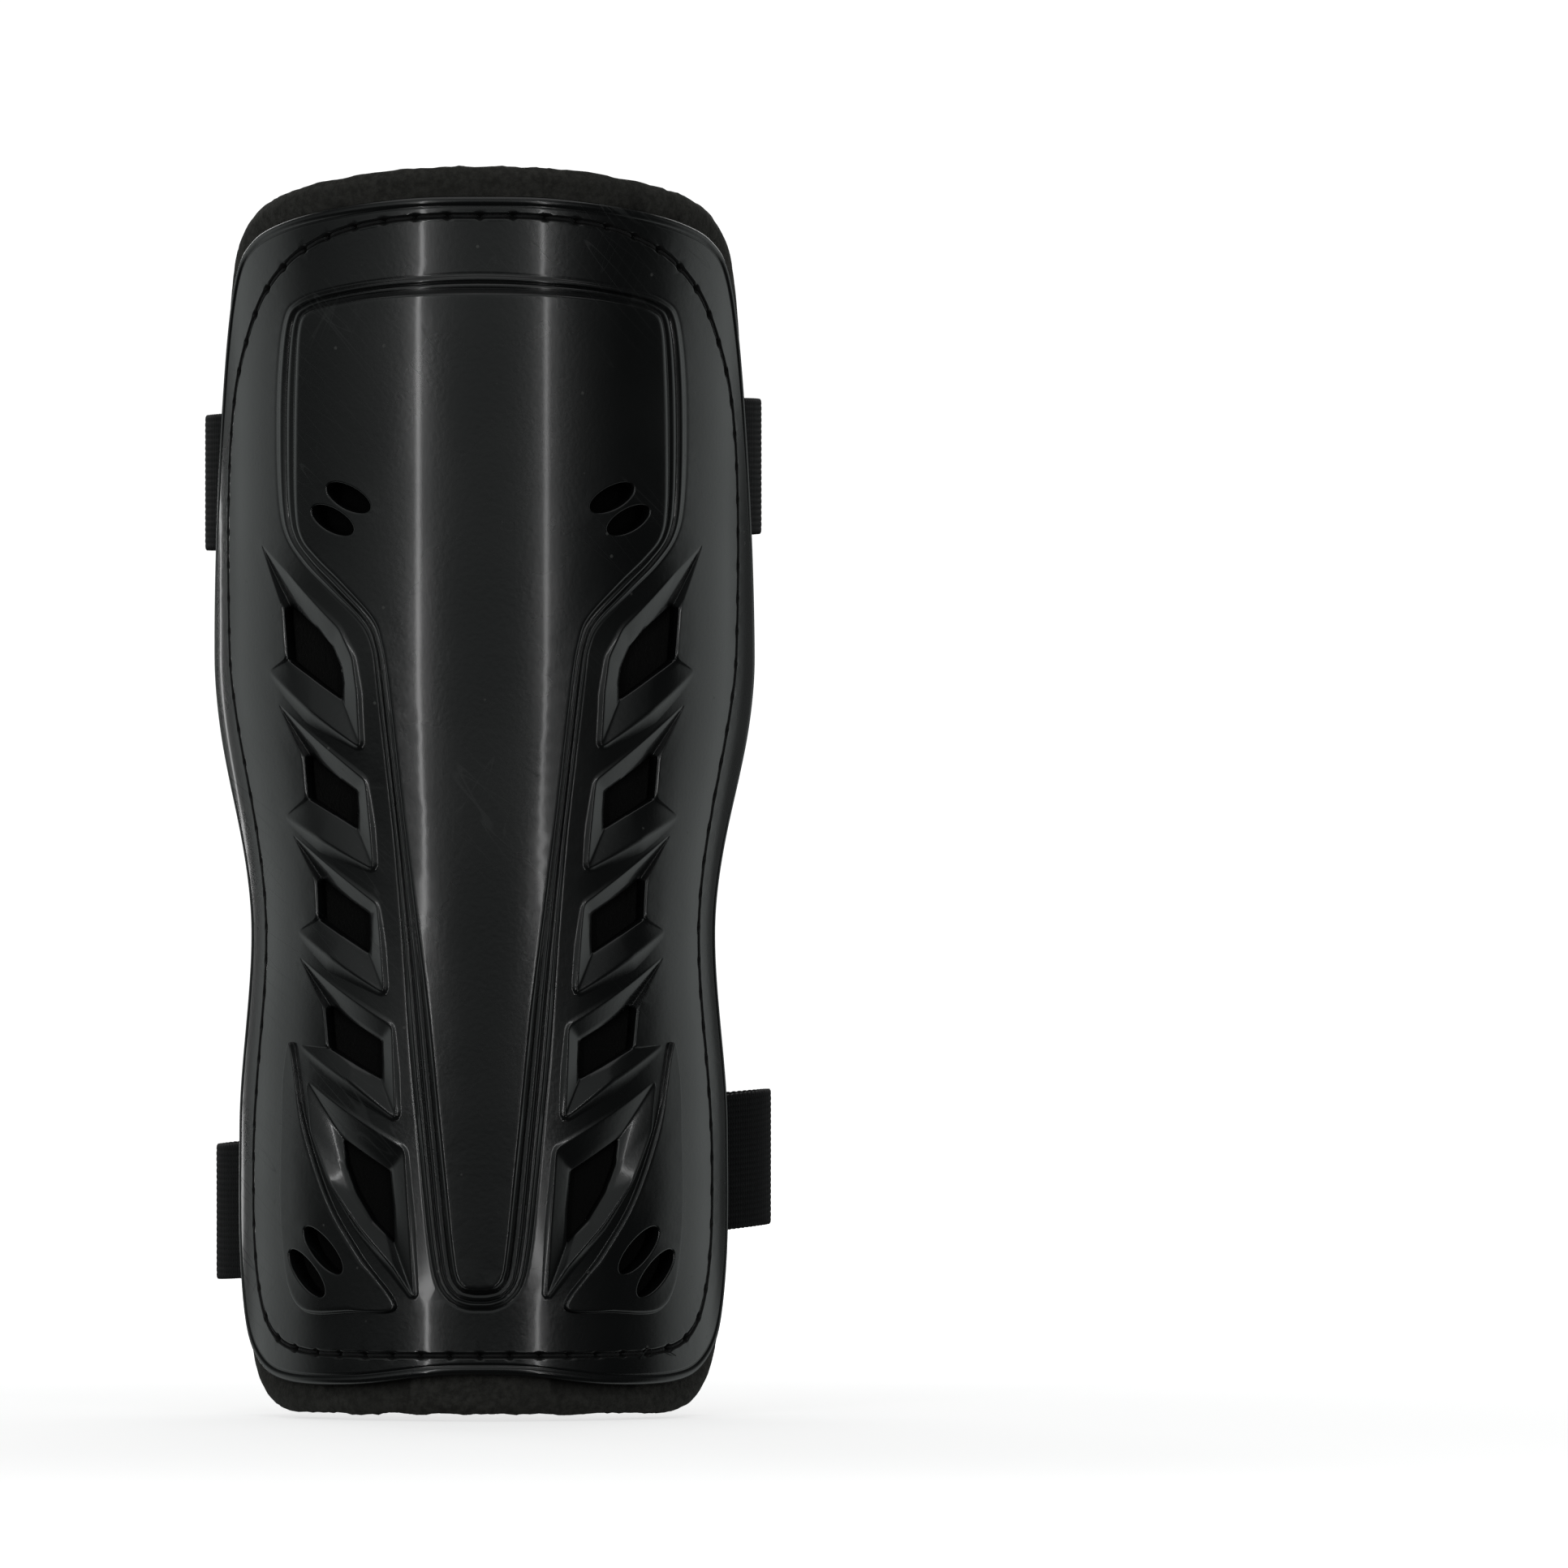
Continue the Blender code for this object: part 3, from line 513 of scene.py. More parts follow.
shell = bmesh.new()
groove = shell.verts.layers.float.new("groove")

# The edge: a rounded bead with a crease inside it.
edge_away = outward(shell_edge)
edge_rings = [
    ring(shell, shell_edge - edge_away * inset, out)
    for inset, out in (
        (0.3, -WALL), (0, -WALL + 0.35), (0, -0.5), (0.18, -0.12), (0.5, 0.14), (0.92, 0.26), (1.3, 0.18),
        (1.6, -0.06), (1.8, -0.28), (1.98, -0.1), (2.15, 0), (2.36, 0),
    )
]
skin(shell, edge_rings)

# The seam's groove, puckered at each needle hole, and marked in the groove layer for painted shade.
seam_away = outward(seam_path)
to_hole = np.abs((seam_run[:-1] / stitch_length + 0.5) % 1 - 0.5) * stitch_length
pucker = np.exp(-((to_hole / 0.55) ** 2))
rough = np.array([noise.noise((x * 0.9, z * 0.9, 0)) for x, z in seam_path])
seam_rings = []
for aside, out, pulled in (
    (0.98, 0, 0), (0.8, 0, -0.03), (0.62, 0.02, -0.25), (0.42, -0.2, -0.4), (0.24, -0.7, -0.5),
    (0, -0.85, -0.9), (-0.24, -0.7, -0.5), (-0.42, -0.2, -0.4), (-0.62, 0.02, -0.25), (-0.8, 0, -0.03),
    (-0.98, 0, 0),
):
    wider = 1 + 0.2 * pucker * (0.2 < abs(aside) < 0.7)
    outline = seam_path + seam_away * (aside * wider)[:, None]
    seam_rings.append(ring(shell, outline, out + pulled * pucker + 0.05 * rough * (abs(aside) < 0.8)))
    for vert, near_hole in zip(seam_rings[-1], pucker):
        vert[groove] = 1 if abs(aside) < 0.5 else near_hole * (abs(aside) < 0.9)
skin(shell, seam_rings)
fill(shell, edge_rings[-1], [seam_rings[0]], 2.2, 0)

# The front panel, raised inside two beads.
panel_rings = [
    ring(shell, panel_foot + (panel_face - panel_foot) * share, out)
    for share, out in (
        (-0.2, 0), (-0.1, 0), (-0.03, -0.08), (0.04, 0.28), (0.11, 0.62), (0.19, 0.78), (0.27, 0.66),
        (0.32, 0.34), (0.35, 0.3), (0.41, 0.82), (0.49, 1.15), (0.58, 1.12), (0.64, 0.95), (0.67, 1.02),
        (0.78, 1.95), (0.9, 2.78), (0.96, 2.97), (1.03, PANEL_RISE), (1.14, PANEL_RISE),
    )
]
skin(shell, panel_rings)

front_holes, back_holes, panel_slots, hollow_slots = [], [], [], []
for side in (1, -1):
    for points in VENTS:
        sided = [(side * p[0], p[1], side * p[2], *p[3:]) for p in points]
        outer, inner = vent_rings(shell, sided)
        front_holes.append(outer)
        back_holes.append(inner)
    for slot in SLOTS[:2]:
        outer, inner = slot_rings(shell, *slot, PANEL_RISE, PANEL_RISE - WALL, side)
        panel_slots.append(outer)
        hollow_slots.append(inner)
    # A raised pad in the lower corner holds the lower pair of slots.
    pad = flowing(lay(CORNER_PAD), 10) * (side, 1)
    pad_away = outward(pad)
    for _ in range(2):
        pad_away = pad_away + np.roll(pad_away, 1, axis=0) + np.roll(pad_away, -1, axis=0)
        pad_away /= np.linalg.norm(pad_away, axis=1, keepdims=True)
    gaps = np.linalg.norm(pad[:, None] - pad[None], axis=2) + 99 * (pad_away @ pad_away.T > -0.3)
    narrow = np.minimum(1, 0.25 * gaps.min(axis=1) / 1.3)
    narrow = np.min([np.roll(narrow, shift) for shift in range(-4, 5)], axis=0)[:, None]
    pad_rings = [
        ring(shell, pad - pad_away * narrow * inset, out)
        for inset, out in (
            (-0.22, 0), (-0.08, 0), (0, 0.08), (0.16, 0.45), (0.34, 0.8), (0.55, 0.95),
            (0.8, CORNER_RISE), (1.3, CORNER_RISE),
        )
    ]
    skin(shell, pad_rings)
    front_holes.append(pad_rings[0])
    corner_slots = []
    for slot in SLOTS[2:]:
        outer, inner = slot_rings(shell, *slot, CORNER_RISE, -WALL, side)
        corner_slots.append(outer)
        back_holes.append(inner)
    fill(shell, pad_rings[-1], corner_slots, 2.2, CORNER_RISE)
fill(shell, seam_rings[-1], [panel_rings[0], *front_holes], 2.2, 0)
fill(shell, panel_rings[-1], panel_slots, 2.2, PANEL_RISE)

# The back of the wall, hollowed behind the panel.
hollow_rings = [
    ring(shell, panel_foot + (panel_face - panel_foot) * share, out)
    for share, out in ((0.9, -WALL), (1.0, -1.7), (1.2, 0.3), (1.3, PANEL_RISE - WALL))
]
skin(shell, hollow_rings)
fill(shell, edge_rings[0], [hollow_rings[0], *back_holes], 4, -WALL)
fill(shell, hollow_rings[-1], hollow_slots, 4, PANEL_RISE - WALL)
bend(shell)


def grain(start, place, scale, detail=2.0, stretch=(1, 1, 1), rough=0.5):
    """Noise from 0 to 1 over a place, in features per metre."""
    placed = start.node("ShaderNodeVectorMath", {"operation": "MULTIPLY"}, {0: place, 1: stretch})
    return start.node(
        "ShaderNodeTexNoise", None,
        {"Vector": placed, "Scale": scale, "Detail": detail, "Roughness": rough},
    )


def raised(start, strength, distance, height, under=None):
    """A bump of a given depth in metres."""
    inputs = {"Strength": strength, "Distance": distance, "Height": height}
    if under:
        inputs["Normal"] = under
    return start.node("ShaderNodeBump", None, inputs)


# Hard black plastic: polished, with fine handling scratches, specks of dust and a slight orange peel.
# Painted shade darkens its colour to near black in the seam's groove.
shell_finish, surface, start, place = finish_of(
    "shell_plastic", Specular_IOR_Level=0.5, Coat_Roughness=0.1, Coat_IOR=1.45,
)
# painted shade: the groove layer darkens the plastic's colour to near black in the seam's groove
sunk = start.node("ShaderNodeAttribute", {"attribute_name": "groove"}, output=2).above(0.2, 0.8)
smudge = grain(start, place, 38, 4)
peel = grain(start, place, 1100, 1)
handled = grain(start, place, 24, 2)
scratches = start.maths("MULTIPLY", 0)
for tilt, fineness, coverage in ((0.7, 300, 0.56), (0.95, 230, 0.6), (-0.4, 420, 0.63)):
    turned_place = start.node(
        "ShaderNodeVectorRotate", {"rotation_type": "Y_AXIS"}, {"Vector": place, "Angle": tilt}
    )
    line = grain(start, turned_place, fineness, 0, (1, 0.02, 0.05)) - 0.5
    thin = 1 - start.maths("ABSOLUTE", line).above(0.001, 0.008)
    scratches = scratches + thin * handled.above(coverage - 0.06, coverage + 0.06)
dust = start.node("ShaderNodeTexVoronoi", {"feature": "F1"}, {"Vector": place, "Scale": 150.0})
specks = 1 - dust.above(0.03, 0.06)
colour = mixed(start, smudge.above(0.3, 0.75), (0.0045, 0.005, 0.0054, 1), (0.0068, 0.0074, 0.0077, 1))
colour = mixed(start, scratches * 0.4, colour, (0.035, 0.037, 0.037, 1))
colour = mixed(start, specks * 0.35, colour, (0.2, 0.2, 0.19, 1))
# painted shade in the seam's groove
colour = mixed(start, sunk, colour, (0.002, 0.002, 0.002, 1))
plug(
    surface, Base_Color=colour, Coat_Weight=0.6 - sunk * 0.6,
    Roughness=0.24 + smudge.above(0.3, 0.8, 0.12) + scratches * 0.2 + specks * 0.3 + sunk * 0.5,
    Normal=raised(start, 1.0, 0.00002, peel),
)

outer_shell = show(shell, "moulded_shell", shell_finish)
shading = outer_shell.modifiers.new("shading", "WEIGHTED_NORMAL")
shading.keep_sharp = False
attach(outer_shell, "guard")
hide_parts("outer_shell")


# --- The pad ---
# A sheet of foam 5 to 6 mm thick between two brushed knit fabrics, bonded to it and cut through in one
# stroke, a little past the shell all round. The seam draws it in, and it swells again on either side.
# The straps' sewn ends press into its front.

FABRIC, BOND = 0.6, 0.06
FRONT_FACE = -2.7  # the face fabric's outside, from the shell's outside
PAD_FOOT = -115.1
ELASTIC_THICK, ELASTIC_WIDTH = 1.2, 25
ANCHOR_ANGLE = 64  # degrees round the leg to the straps' sewn ends
STRAPS = {
    "upper": dict(height=59.2, rise=0.03, depth=78, steer_right=57, steer_left=59),
    "lower": dict(height=-73.8, rise=0.1, depth=70, steer_right=64, steer_left=57),
}

past_edge = np.where(edge_away[:, 1] > 0, 5.8, 6.0)
pad_edge = shell_edge + edge_away * np.stack([np.full(len(shell_edge), 9.5), past_edge], axis=1)
ragged = np.array([
    noise.noise((x * 0.16, z * 0.16, 3)) * 0.35 + noise.noise((x * 0.7, z * 0.7, 8)) * 0.22
    for x, z in pad_edge
])
flat_foot = soft((50 - np.abs(pad_edge[:, 0])) / 16) * (pad_edge[:, 1] < -105)
pad_edge[:, 1] += (PAD_FOOT - pad_edge[:, 1]) * flat_foot
pad_away = outward(pad_edge)
pad_cut = pad_edge + pad_away * (ragged - 0.25)[:, None]


def distance_to(outline):
    """A function that gives how far flat points are from an outline, in mm."""
    tree = KDTree(len(outline))
    for i, (x, z) in enumerate(outline):
        tree.insert((x, 0, z), i)
    tree.balance()
    return lambda points: np.array([tree.find((x, 0, z))[2] for x, z in points])


from_seam, from_cut = distance_to(seam_path), distance_to(pad_edge)
from_shell = distance_to(shell_edge)


def pad_front(points):
    """Where the face fabric lies: under the shell, pressed in at the straps' ends, proud of the shell's
    edge on the flange, and turned down at the cut edge."""
    points = np.asarray(points, float)
    beyond = np.where(inside(points, shell_edge), 0, from_shell(points))
    height = FRONT_FACE + 0.75 * soft(beyond / 3)
    for strap in STRAPS.values():
        for side in (1, -1):
            middle = strap["height"] + strap["rise"] * side * CALF_RADIUS
            past = np.maximum(np.abs(points[:, 1] - middle) - ELASTIC_WIDTH / 2 - 1.2, 0)
            start = math.radians(ANCHOR_ANGLE) * CALF_RADIUS - 1.2
            past = np.maximum(past, start - side * points[:, 0])
            pressed = 1 - soft(past / 2.5)
            proud = (height - FRONT_FACE) * (1 - pressed)
            height = np.minimum(height, FRONT_FACE - 1.5 * pressed + proud)
    lumps = np.array([noise.noise((x * 0.11, z * 0.11, 5)) for x, z in points])
    return height + 0.16 * lumps * soft(beyond / 2) - 0.9 * (1 - soft(from_cut(points) / 1.9))


def pad_back(points):
    """Where the lining's inner face lies: swollen, drawn in along the seam, turned down at the edge."""
    points = np.asarray(points, float)
    seam, cut = from_seam(points), from_cut(points)
    height = LINING_FACE + 1.7 * np.exp(-((seam / 1.7) ** 2)) - 0.5 * np.exp(-(((seam - 5.5) / 3.2) ** 2))
    lumps = np.array([noise.noise((x * 0.09, z * 0.09, 1)) for x, z in points])
    return height + 0.14 * lumps + 1.0 * (1 - soft(cut / 2.2))


def pad_sheet(height):
    """One face of the pad as a single sheet, with rows of points along its edge and along the seam. The
    front one is marked where the shell covers it, for the painted shade that darkens it there."""
    mesh = bmesh.new()
    under_shell_shade_layer = mesh.verts.layers.float.new("under_shell_shade")
    rings = []
    for inset in (0, 0.45, 1.0, 1.8, 2.8):
        outline = pad_cut - pad_away * inset
        rings.append(ring(mesh, outline, height(outline)))
    skin(mesh, rings)
    sewn = []
    for aside in (3.4, 2.3, 1.5, 0.8, 0, -0.8, -1.5, -2.3, -3.4):
        outline = seam_path[::2] + seam_away[::2] * aside
        sewn.append(ring(mesh, outline, height(outline)))
    skin(mesh, sewn)
    fill(mesh, rings[-1], [sewn[0]], 2.6, height)
    fill(mesh, sewn[-1], [], 2.6, height)
    if height is pad_front:
        flats = flat_of(mesh.verts)
        for vert, under in zip(mesh.verts, inside(flats, shell_edge) & (from_shell(flats) > 1)):
            vert[under_shell_shade_layer] = under
    bend(mesh)
    return mesh


def turned(mesh, outward_side):
    """A sheet's faces turned to look away from the leg's axis, or towards it."""
    for face in mesh.faces:
        middle = face.calc_center_median()
        axis = Vector((0, (CALF_RADIUS + LINING_FACE) * MM, middle.z))
        if (face.normal.dot(middle - axis) > 0) != outward_side:
            face.normal_flip()


def thickened(piece, thickness):
    """Gives a sheet its thickness, behind the face that shows."""
    solid = piece.modifiers.new("thickness", "SOLIDIFY")
    solid.thickness, solid.offset = thickness * MM, -1
    return piece


# Brushed knit: matt, fibrous, a little brown where the nap stands up. Painted shade darkens it to near
# black where the shell covers it.
nap_finish, surface, start, place = finish_of(
    "brushed_fabric", Specular_IOR_Level=0.12, Sheen_Weight=0.12, Sheen_Roughness=0.5,
    Sheen_Tint=(0.9, 0.88, 0.84, 1),
)
# painted shade: marks where the shell covers the face fabric
under_shell_shade = start.node("ShaderNodeAttribute", {"attribute_name": "under_shell_shade"}, output=2)
fibres = grain(start, place, 1500, 3, rough=0.7)
tufts = grain(start, place, 700, 3, rough=0.7)
worn = grain(start, place, 45, 3)
colour = mixed(start, tufts.above(0.3, 0.72), (0.036, 0.035, 0.032, 1), (0.075, 0.073, 0.067, 1))
colour = mixed(start, worn.above(0.35, 0.75, 0.5), colour, (0.048, 0.047, 0.043, 1))
# painted shade: near black under the shell
colour = mixed(start, under_shell_shade, colour, (0.004, 0.004, 0.004, 1))
plug(
    surface, Base_Color=colour, Roughness=0.86 + fibres * 0.12,
    Normal=raised(start, 0.8, 0.00022, fibres, raised(start, 0.5, 0.0004, tufts)),
)

# Cut foam: open cells, a shade greyer than the fabrics.
foam_finish, surface, start, place = finish_of("cut_foam", Specular_IOR_Level=0.15)
cells = start.node("ShaderNodeTexVoronoi", {"feature": "F1"}, {"Vector": place, "Scale": 1900.0})
crumble = grain(start, place, 700, 3)
colour = mixed(start, cells.above(0.1, 0.6), (0.008, 0.008, 0.0078, 1), (0.045, 0.043, 0.04, 1))
plug(
    surface, Base_Color=colour, Roughness=0.9 + crumble * 0.08,
    Normal=raised(start, 0.9, 0.0003, cells + crumble),
)


def flat_piece(mesh):
    """The size and area of the flat fabric that a sheet is cut from."""
    area = sum(face.calc_area() for face in mesh.faces)
    x, z = pad_cut.T
    drawn = abs(float(np.sum(x * np.roll(z, -1) - np.roll(x, -1) * z))) / 2 * MM * MM
    return {
        "flat": (2 * float(x.max()) * MM * area / drawn, float(np.ptp(z)) * MM), "area": area,
        "held": "stretched", "rests_on": ["foam_filling"],
    }


for name, node, height, faces_out in (
    ("front_fabric", "face_fabric", pad_front, True), ("back_lining", "lining", pad_back, False)
):
    mesh = pad_sheet(height)
    turned(mesh, faces_out)
    cut_from = flat_piece(mesh)
    fabric = thickened(show(mesh, name, nap_finish), FABRIC)
    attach(fabric, "guard")
    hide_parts(node)

# The foam between them shows only at its cut edge.
foam = bmesh.new()
chew = np.array([noise.noise((x * 0.5, z * 0.5, 12)) for x, z in pad_cut])
foam_rings = []
for inset, share in (
    (2.8, 0), (1.0, 0), (0.4, 0.04), (0.12, 0.2), (-0.12, 0.5), (0.12, 0.8), (0.4, 0.96), (1.0, 1),
    (2.8, 1),
):
    outline = pad_cut - pad_away * (inset + 0.3 * chew * (0.1 < share < 0.9))[:, None]
    front = pad_front(outline) - FABRIC - BOND
    back = pad_back(outline) + FABRIC + BOND
    foam_rings.append(ring(foam, outline, front + (back - front) * share))
skin(foam, foam_rings)
fill(foam, foam_rings[0], [], 3.2, lambda points: pad_front(points) - FABRIC - BOND)
fill(foam, foam_rings[-1], [], 3.2, lambda points: pad_back(points) + FABRIC + BOND)
bend(foam)
foam_filling = show(foam, "foam_filling", foam_finish)
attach(foam_filling, "guard")
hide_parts("foam_core")


# --- The seam ---
# Black lockstitch through the shell and the pad, 6 mm a stitch: a twisted thread that dips into each
# needle hole, on both faces, with two cut ends at the bottom where the sewing began and ended.

thread_finish, surface, start, place = finish_of("thread", Specular_IOR_Level=0.35, Sheen_Weight=0.1)
twist = grain(start, place, 2400, 2)
colour = mixed(start, twist, (0.002, 0.002, 0.0022, 1), (0.012, 0.012, 0.013, 1))
plug(surface, Base_Color=colour, Roughness=0.5 + twist * 0.3, Normal=raised(start, 0.6, 0.00012, twist))


def stitch(mesh, route, length, half_width, half_thick, dip, count):
    """One stitch: a plump thread lying along a route, whose ends dip down. The route turns a distance
    along the stitch into a flat place and the direction to its side."""
    made = bmesh.ops.create_uvsphere(mesh, u_segments=8, v_segments=9, radius=1)["verts"]
    for vert in made:
        run, aside, out = vert.co.z, vert.co.x, vert.co.y
        girth = (1 - run**6) ** 0.5 / max((1 - run**2) ** 0.5, 0.2)
        wander = 0.1 * noise.noise((count, run * 1.5, 0))
        place, away = route(run * length / 2)
        x, z = place + away * (aside * girth * half_width + wander)
        vert.co = (x, out * girth * half_thick - dip * run**8, z)
    return made


def sewn_seam(height, dip):
    mesh = bmesh.new()
    for count in range(stitch_count):
        middle = (count + 0.5) * stitch_length
        made = stitch(
            mesh, lambda run: seam_place(middle + run), stitch_length * 0.94, 0.36, 0.25, dip, count
        )
        for vert in made:
            vert.co.y += height
    return mesh


seam_front = sewn_seam(-0.42, 0.75)
for start_run, sway in ((0.43, 1), (0.437, -1)):
    # Two cut ends of thread beside the last stitches.
    place, away = seam_place(seam_run[-1] * start_run)
    ends = [place + away * 0.2, place + away * sway * 1.6 + (1.2 * sway, 0.4), place + (3.1 * sway, -1.4)]
    made = bmesh.ops.create_uvsphere(seam_front, u_segments=8, v_segments=12, radius=1)["verts"]
    for vert in made:
        share = (vert.co.z + 1) / 2
        x, z = (1 - share) ** 2 * ends[0] + 2 * share * (1 - share) * ends[1] + share**2 * ends[2]
        vert.co = (x + vert.co.x * 0.2, 0.12 + 0.5 * math.sin(math.pi * share) + vert.co.y * 0.2, z)
seam_back = sewn_seam(LINING_FACE + 1.45, -0.6)
for mesh, name, node in (
    (seam_front, "front_thread", "shell_stitching"), (seam_back, "back_thread", "lining_stitching")
):
    bend(mesh)
    seam = show(mesh, name, thread_finish)
    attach(seam, "guard")
    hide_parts(node)


# --- The elastic halves of the straps ---
# Woven elastic, 25 mm wide, ribbed lengthwise, with a crimped selvedge. One end is sewn between the shell
# and the pad, and from the guard's edge it bends back round the calf. The right half ends in a pull tab,
# the left half in a folded hem.

FOLD_RADIUS, FOLD_LENGTH = 0.75, 8
HOOK_TAPE_END, HOOK_TAPE_START = -1.8, 27
LOOP_TAPE_END, LOOP_TAPE_START = 22, -25
LEFT_FOLD, TAB_FLEX, TAB_LENGTH, TAB_SLOPE = -9, -3, 20, math.radians(20)
STRAIGHT_HALF, LEAD = 29, 20
TAPE_WIDTH, TAPE_THICK, GAP = 24, 1.2, 0.3
RIBS, CRIMP = 23, 0.65

joints = {joint["name"]: Vector(joint["pos_m"]) / MM for joint in frame["joints"]}

# Weave: rounded cords along the elastic, with the fine rungs of its knit across them. Painted shade
# darkens the valleys between the cords, and their tops are lighter.
weave_finish, surface, start, _ = finish_of(
    "elastic_webbing", Specular_IOR_Level=0.2, Sheen_Weight=0.02, Sheen_Roughness=0.4,
)
woven = start.node("ShaderNodeAttribute", {"attribute_name": "woven"}, output=1)
along, across = (
    start.node("ShaderNodeSeparateXYZ", None, {"Vector": woven}, output=k) for k in (0, 1)
)
cord = start.maths("COSINE", across * (2 * math.pi * RIBS)) * -0.5 + 0.5
rung = start.maths("SINE", along * 9.0 + cord * 2.4) * 0.5 + 0.5
fuzz = start.node("ShaderNodeTexNoise", None, {"Vector": woven, "Scale": 6.0, "Detail": 3.0})
lint = start.node("ShaderNodeTexNoise", None, {"Vector": woven, "Scale": 1.1, "Detail": 4.0})
# partly painted shade: darker in the valleys between the cords, lighter on their tops; the rungs and fuzz
# are the knit's own tone
shade = cord.above(0.1, 0.8) * 0.55 + rung * 0.3 + fuzz * 0.15
colour = mixed(start, shade, (0.0018, 0.0018, 0.0022, 1), (0.0085, 0.0085, 0.0098, 1))
colour = mixed(start, lint.above(0.68, 0.78, 0.12), colour, (0.05, 0.05, 0.05, 1))
plug(
    surface, Base_Color=colour, Roughness=0.62 + fuzz * 0.3,
    Normal=raised(start, 0.8, 0.00016, cord * 0.7 + rung * 0.35 + fuzz * 0.2),
)


def curve_back(start_at, steer, back, side):
    """The elastic's plan from the guard's edge to the straight stretch behind the leg."""
    return interpolate_bezier(
        start_at.xy, (side * steer, start_at.y + LEAD), (side * (STRAIGHT_HALF + LEAD), back),
        (side * STRAIGHT_HALF, back), 60,
    )


def sewn_end(middle, side, flex):
    """The plan of the end under the shell, up to the guard's edge."""
    radius = float(leg_radius(np.array(float(middle))))
    reach = radius - WALL - GAP - ELASTIC_THICK / 2
    last = math.atan2(side * flex.x, radius + LINING_FACE - flex.y)
    angles = np.linspace(math.radians(ANCHOR_ANGLE), last, 24)[:-1]
    return [
        Vector((side * reach * math.sin(angle), radius - reach * math.cos(angle) + LINING_FACE))
        for angle in angles
    ]


def turned_back(start_at, end):
    """A straight run whose end folds back on its left."""
    ahead = (end - start_at).normalized()
    aside = Vector((-ahead.y, ahead.x))
    centre = end + aside * FOLD_RADIUS
    bend_points = [
        centre + (ahead * math.sin(angle) - aside * math.cos(angle)) * FOLD_RADIUS
        for angle in np.linspace(0, math.pi, 13)
    ]
    return [start_at, *bend_points, end + 2 * aside * FOLD_RADIUS - ahead * FOLD_LENGTH]


def webbing(name, route, strap):
    """Elastic along a plan route: a ribbed cross-section drawn through closely spaced stations."""
    points = np.array([tuple(point) for point in route])
    runs = np.concatenate([[0], np.cumsum(np.linalg.norm(np.diff(points, axis=0), axis=1))])
    count = 2 * round(runs[-1] / CRIMP / 2)
    at = np.linspace(0, runs[-1], count + 1)
    path = np.stack([np.interp(at, runs, points[:, k]) for k in (0, 1)], axis=1)
    ahead = np.gradient(path, axis=0)
    ahead /= np.linalg.norm(ahead, axis=1, keepdims=True)
    aside = np.stack([-ahead[:, 1], ahead[:, 0]], axis=1)
    share = np.linspace(-1, 1, RIBS * 3 + 1)
    half = ELASTIC_THICK / 2 * (1 - 0.35 * np.abs(share) ** 40)
    ribbed = half - 0.09 * (0.5 + 0.5 * np.cos(math.pi * (share + 1) * RIBS))
    section = [(s, t) for s, t in zip(share, ribbed)] + [(s, -t) for s, t in zip(share[::-1], ribbed[::-1])]
    mesh = bmesh.new()
    woven_layer = mesh.verts.layers.float_vector.new("woven")
    loops = []
    for i, (place, off) in enumerate(zip(path, aside)):
        crimp = 0.16 if i % 2 else -0.02
        middle = strap["height"] + strap["rise"] * place[0]
        loop = []
        for s, t in section:
            width = ELASTIC_WIDTH / 2 * s + (crimp if abs(s) > 0.96 else 0) * np.sign(s)
            x, y = place + off * t
            vert = mesh.verts.new((x * MM, y * MM, (middle + width) * MM))
            vert[woven_layer] = (at[i], (s + 1) / 2, t)
            loop.append(vert)
        loops.append(loop)
    skin(mesh, loops)
    mesh.faces.new(loops[0])
    mesh.faces.new(loops[-1])
    bmesh.ops.recalc_face_normals(mesh, faces=mesh.faces)
    piece = show(mesh, name, weave_finish)
    return piece


# --- The closure ---
# Hook tape on the calf side of the right elastic's end and loop tape on that of the left one, each sewn
# round its edge. The loop tape has a round end and lies against the calf, and the hooks press into it.

loop_finish, surface, start, place = finish_of("loop_tape", Specular_IOR_Level=0.2, Sheen_Weight=0.2)
pile = grain(start, place, 2100, 3, rough=0.75)
felt = grain(start, place, 300, 3)
colour = mixed(start, pile.above(0.3, 0.7), (0.0025, 0.0025, 0.0028, 1), (0.014, 0.014, 0.0155, 1))
plug(
    surface, Base_Color=colour, Roughness=0.85 + felt * 0.12,
    Normal=raised(start, 0.9, 0.0003, pile, raised(start, 0.4, 0.0004, felt)),
)
hook_finish, surface, start, place = finish_of("hook_tape", Specular_IOR_Level=0.4)
knit = grain(start, place, 1500, 2)
colour = mixed(start, knit, (0.003, 0.003, 0.0034, 1), (0.009, 0.009, 0.01, 1))
plug(surface, Base_Color=colour, Roughness=0.42 + knit * 0.25, Normal=raised(start, 0.5, 0.00015, knit))


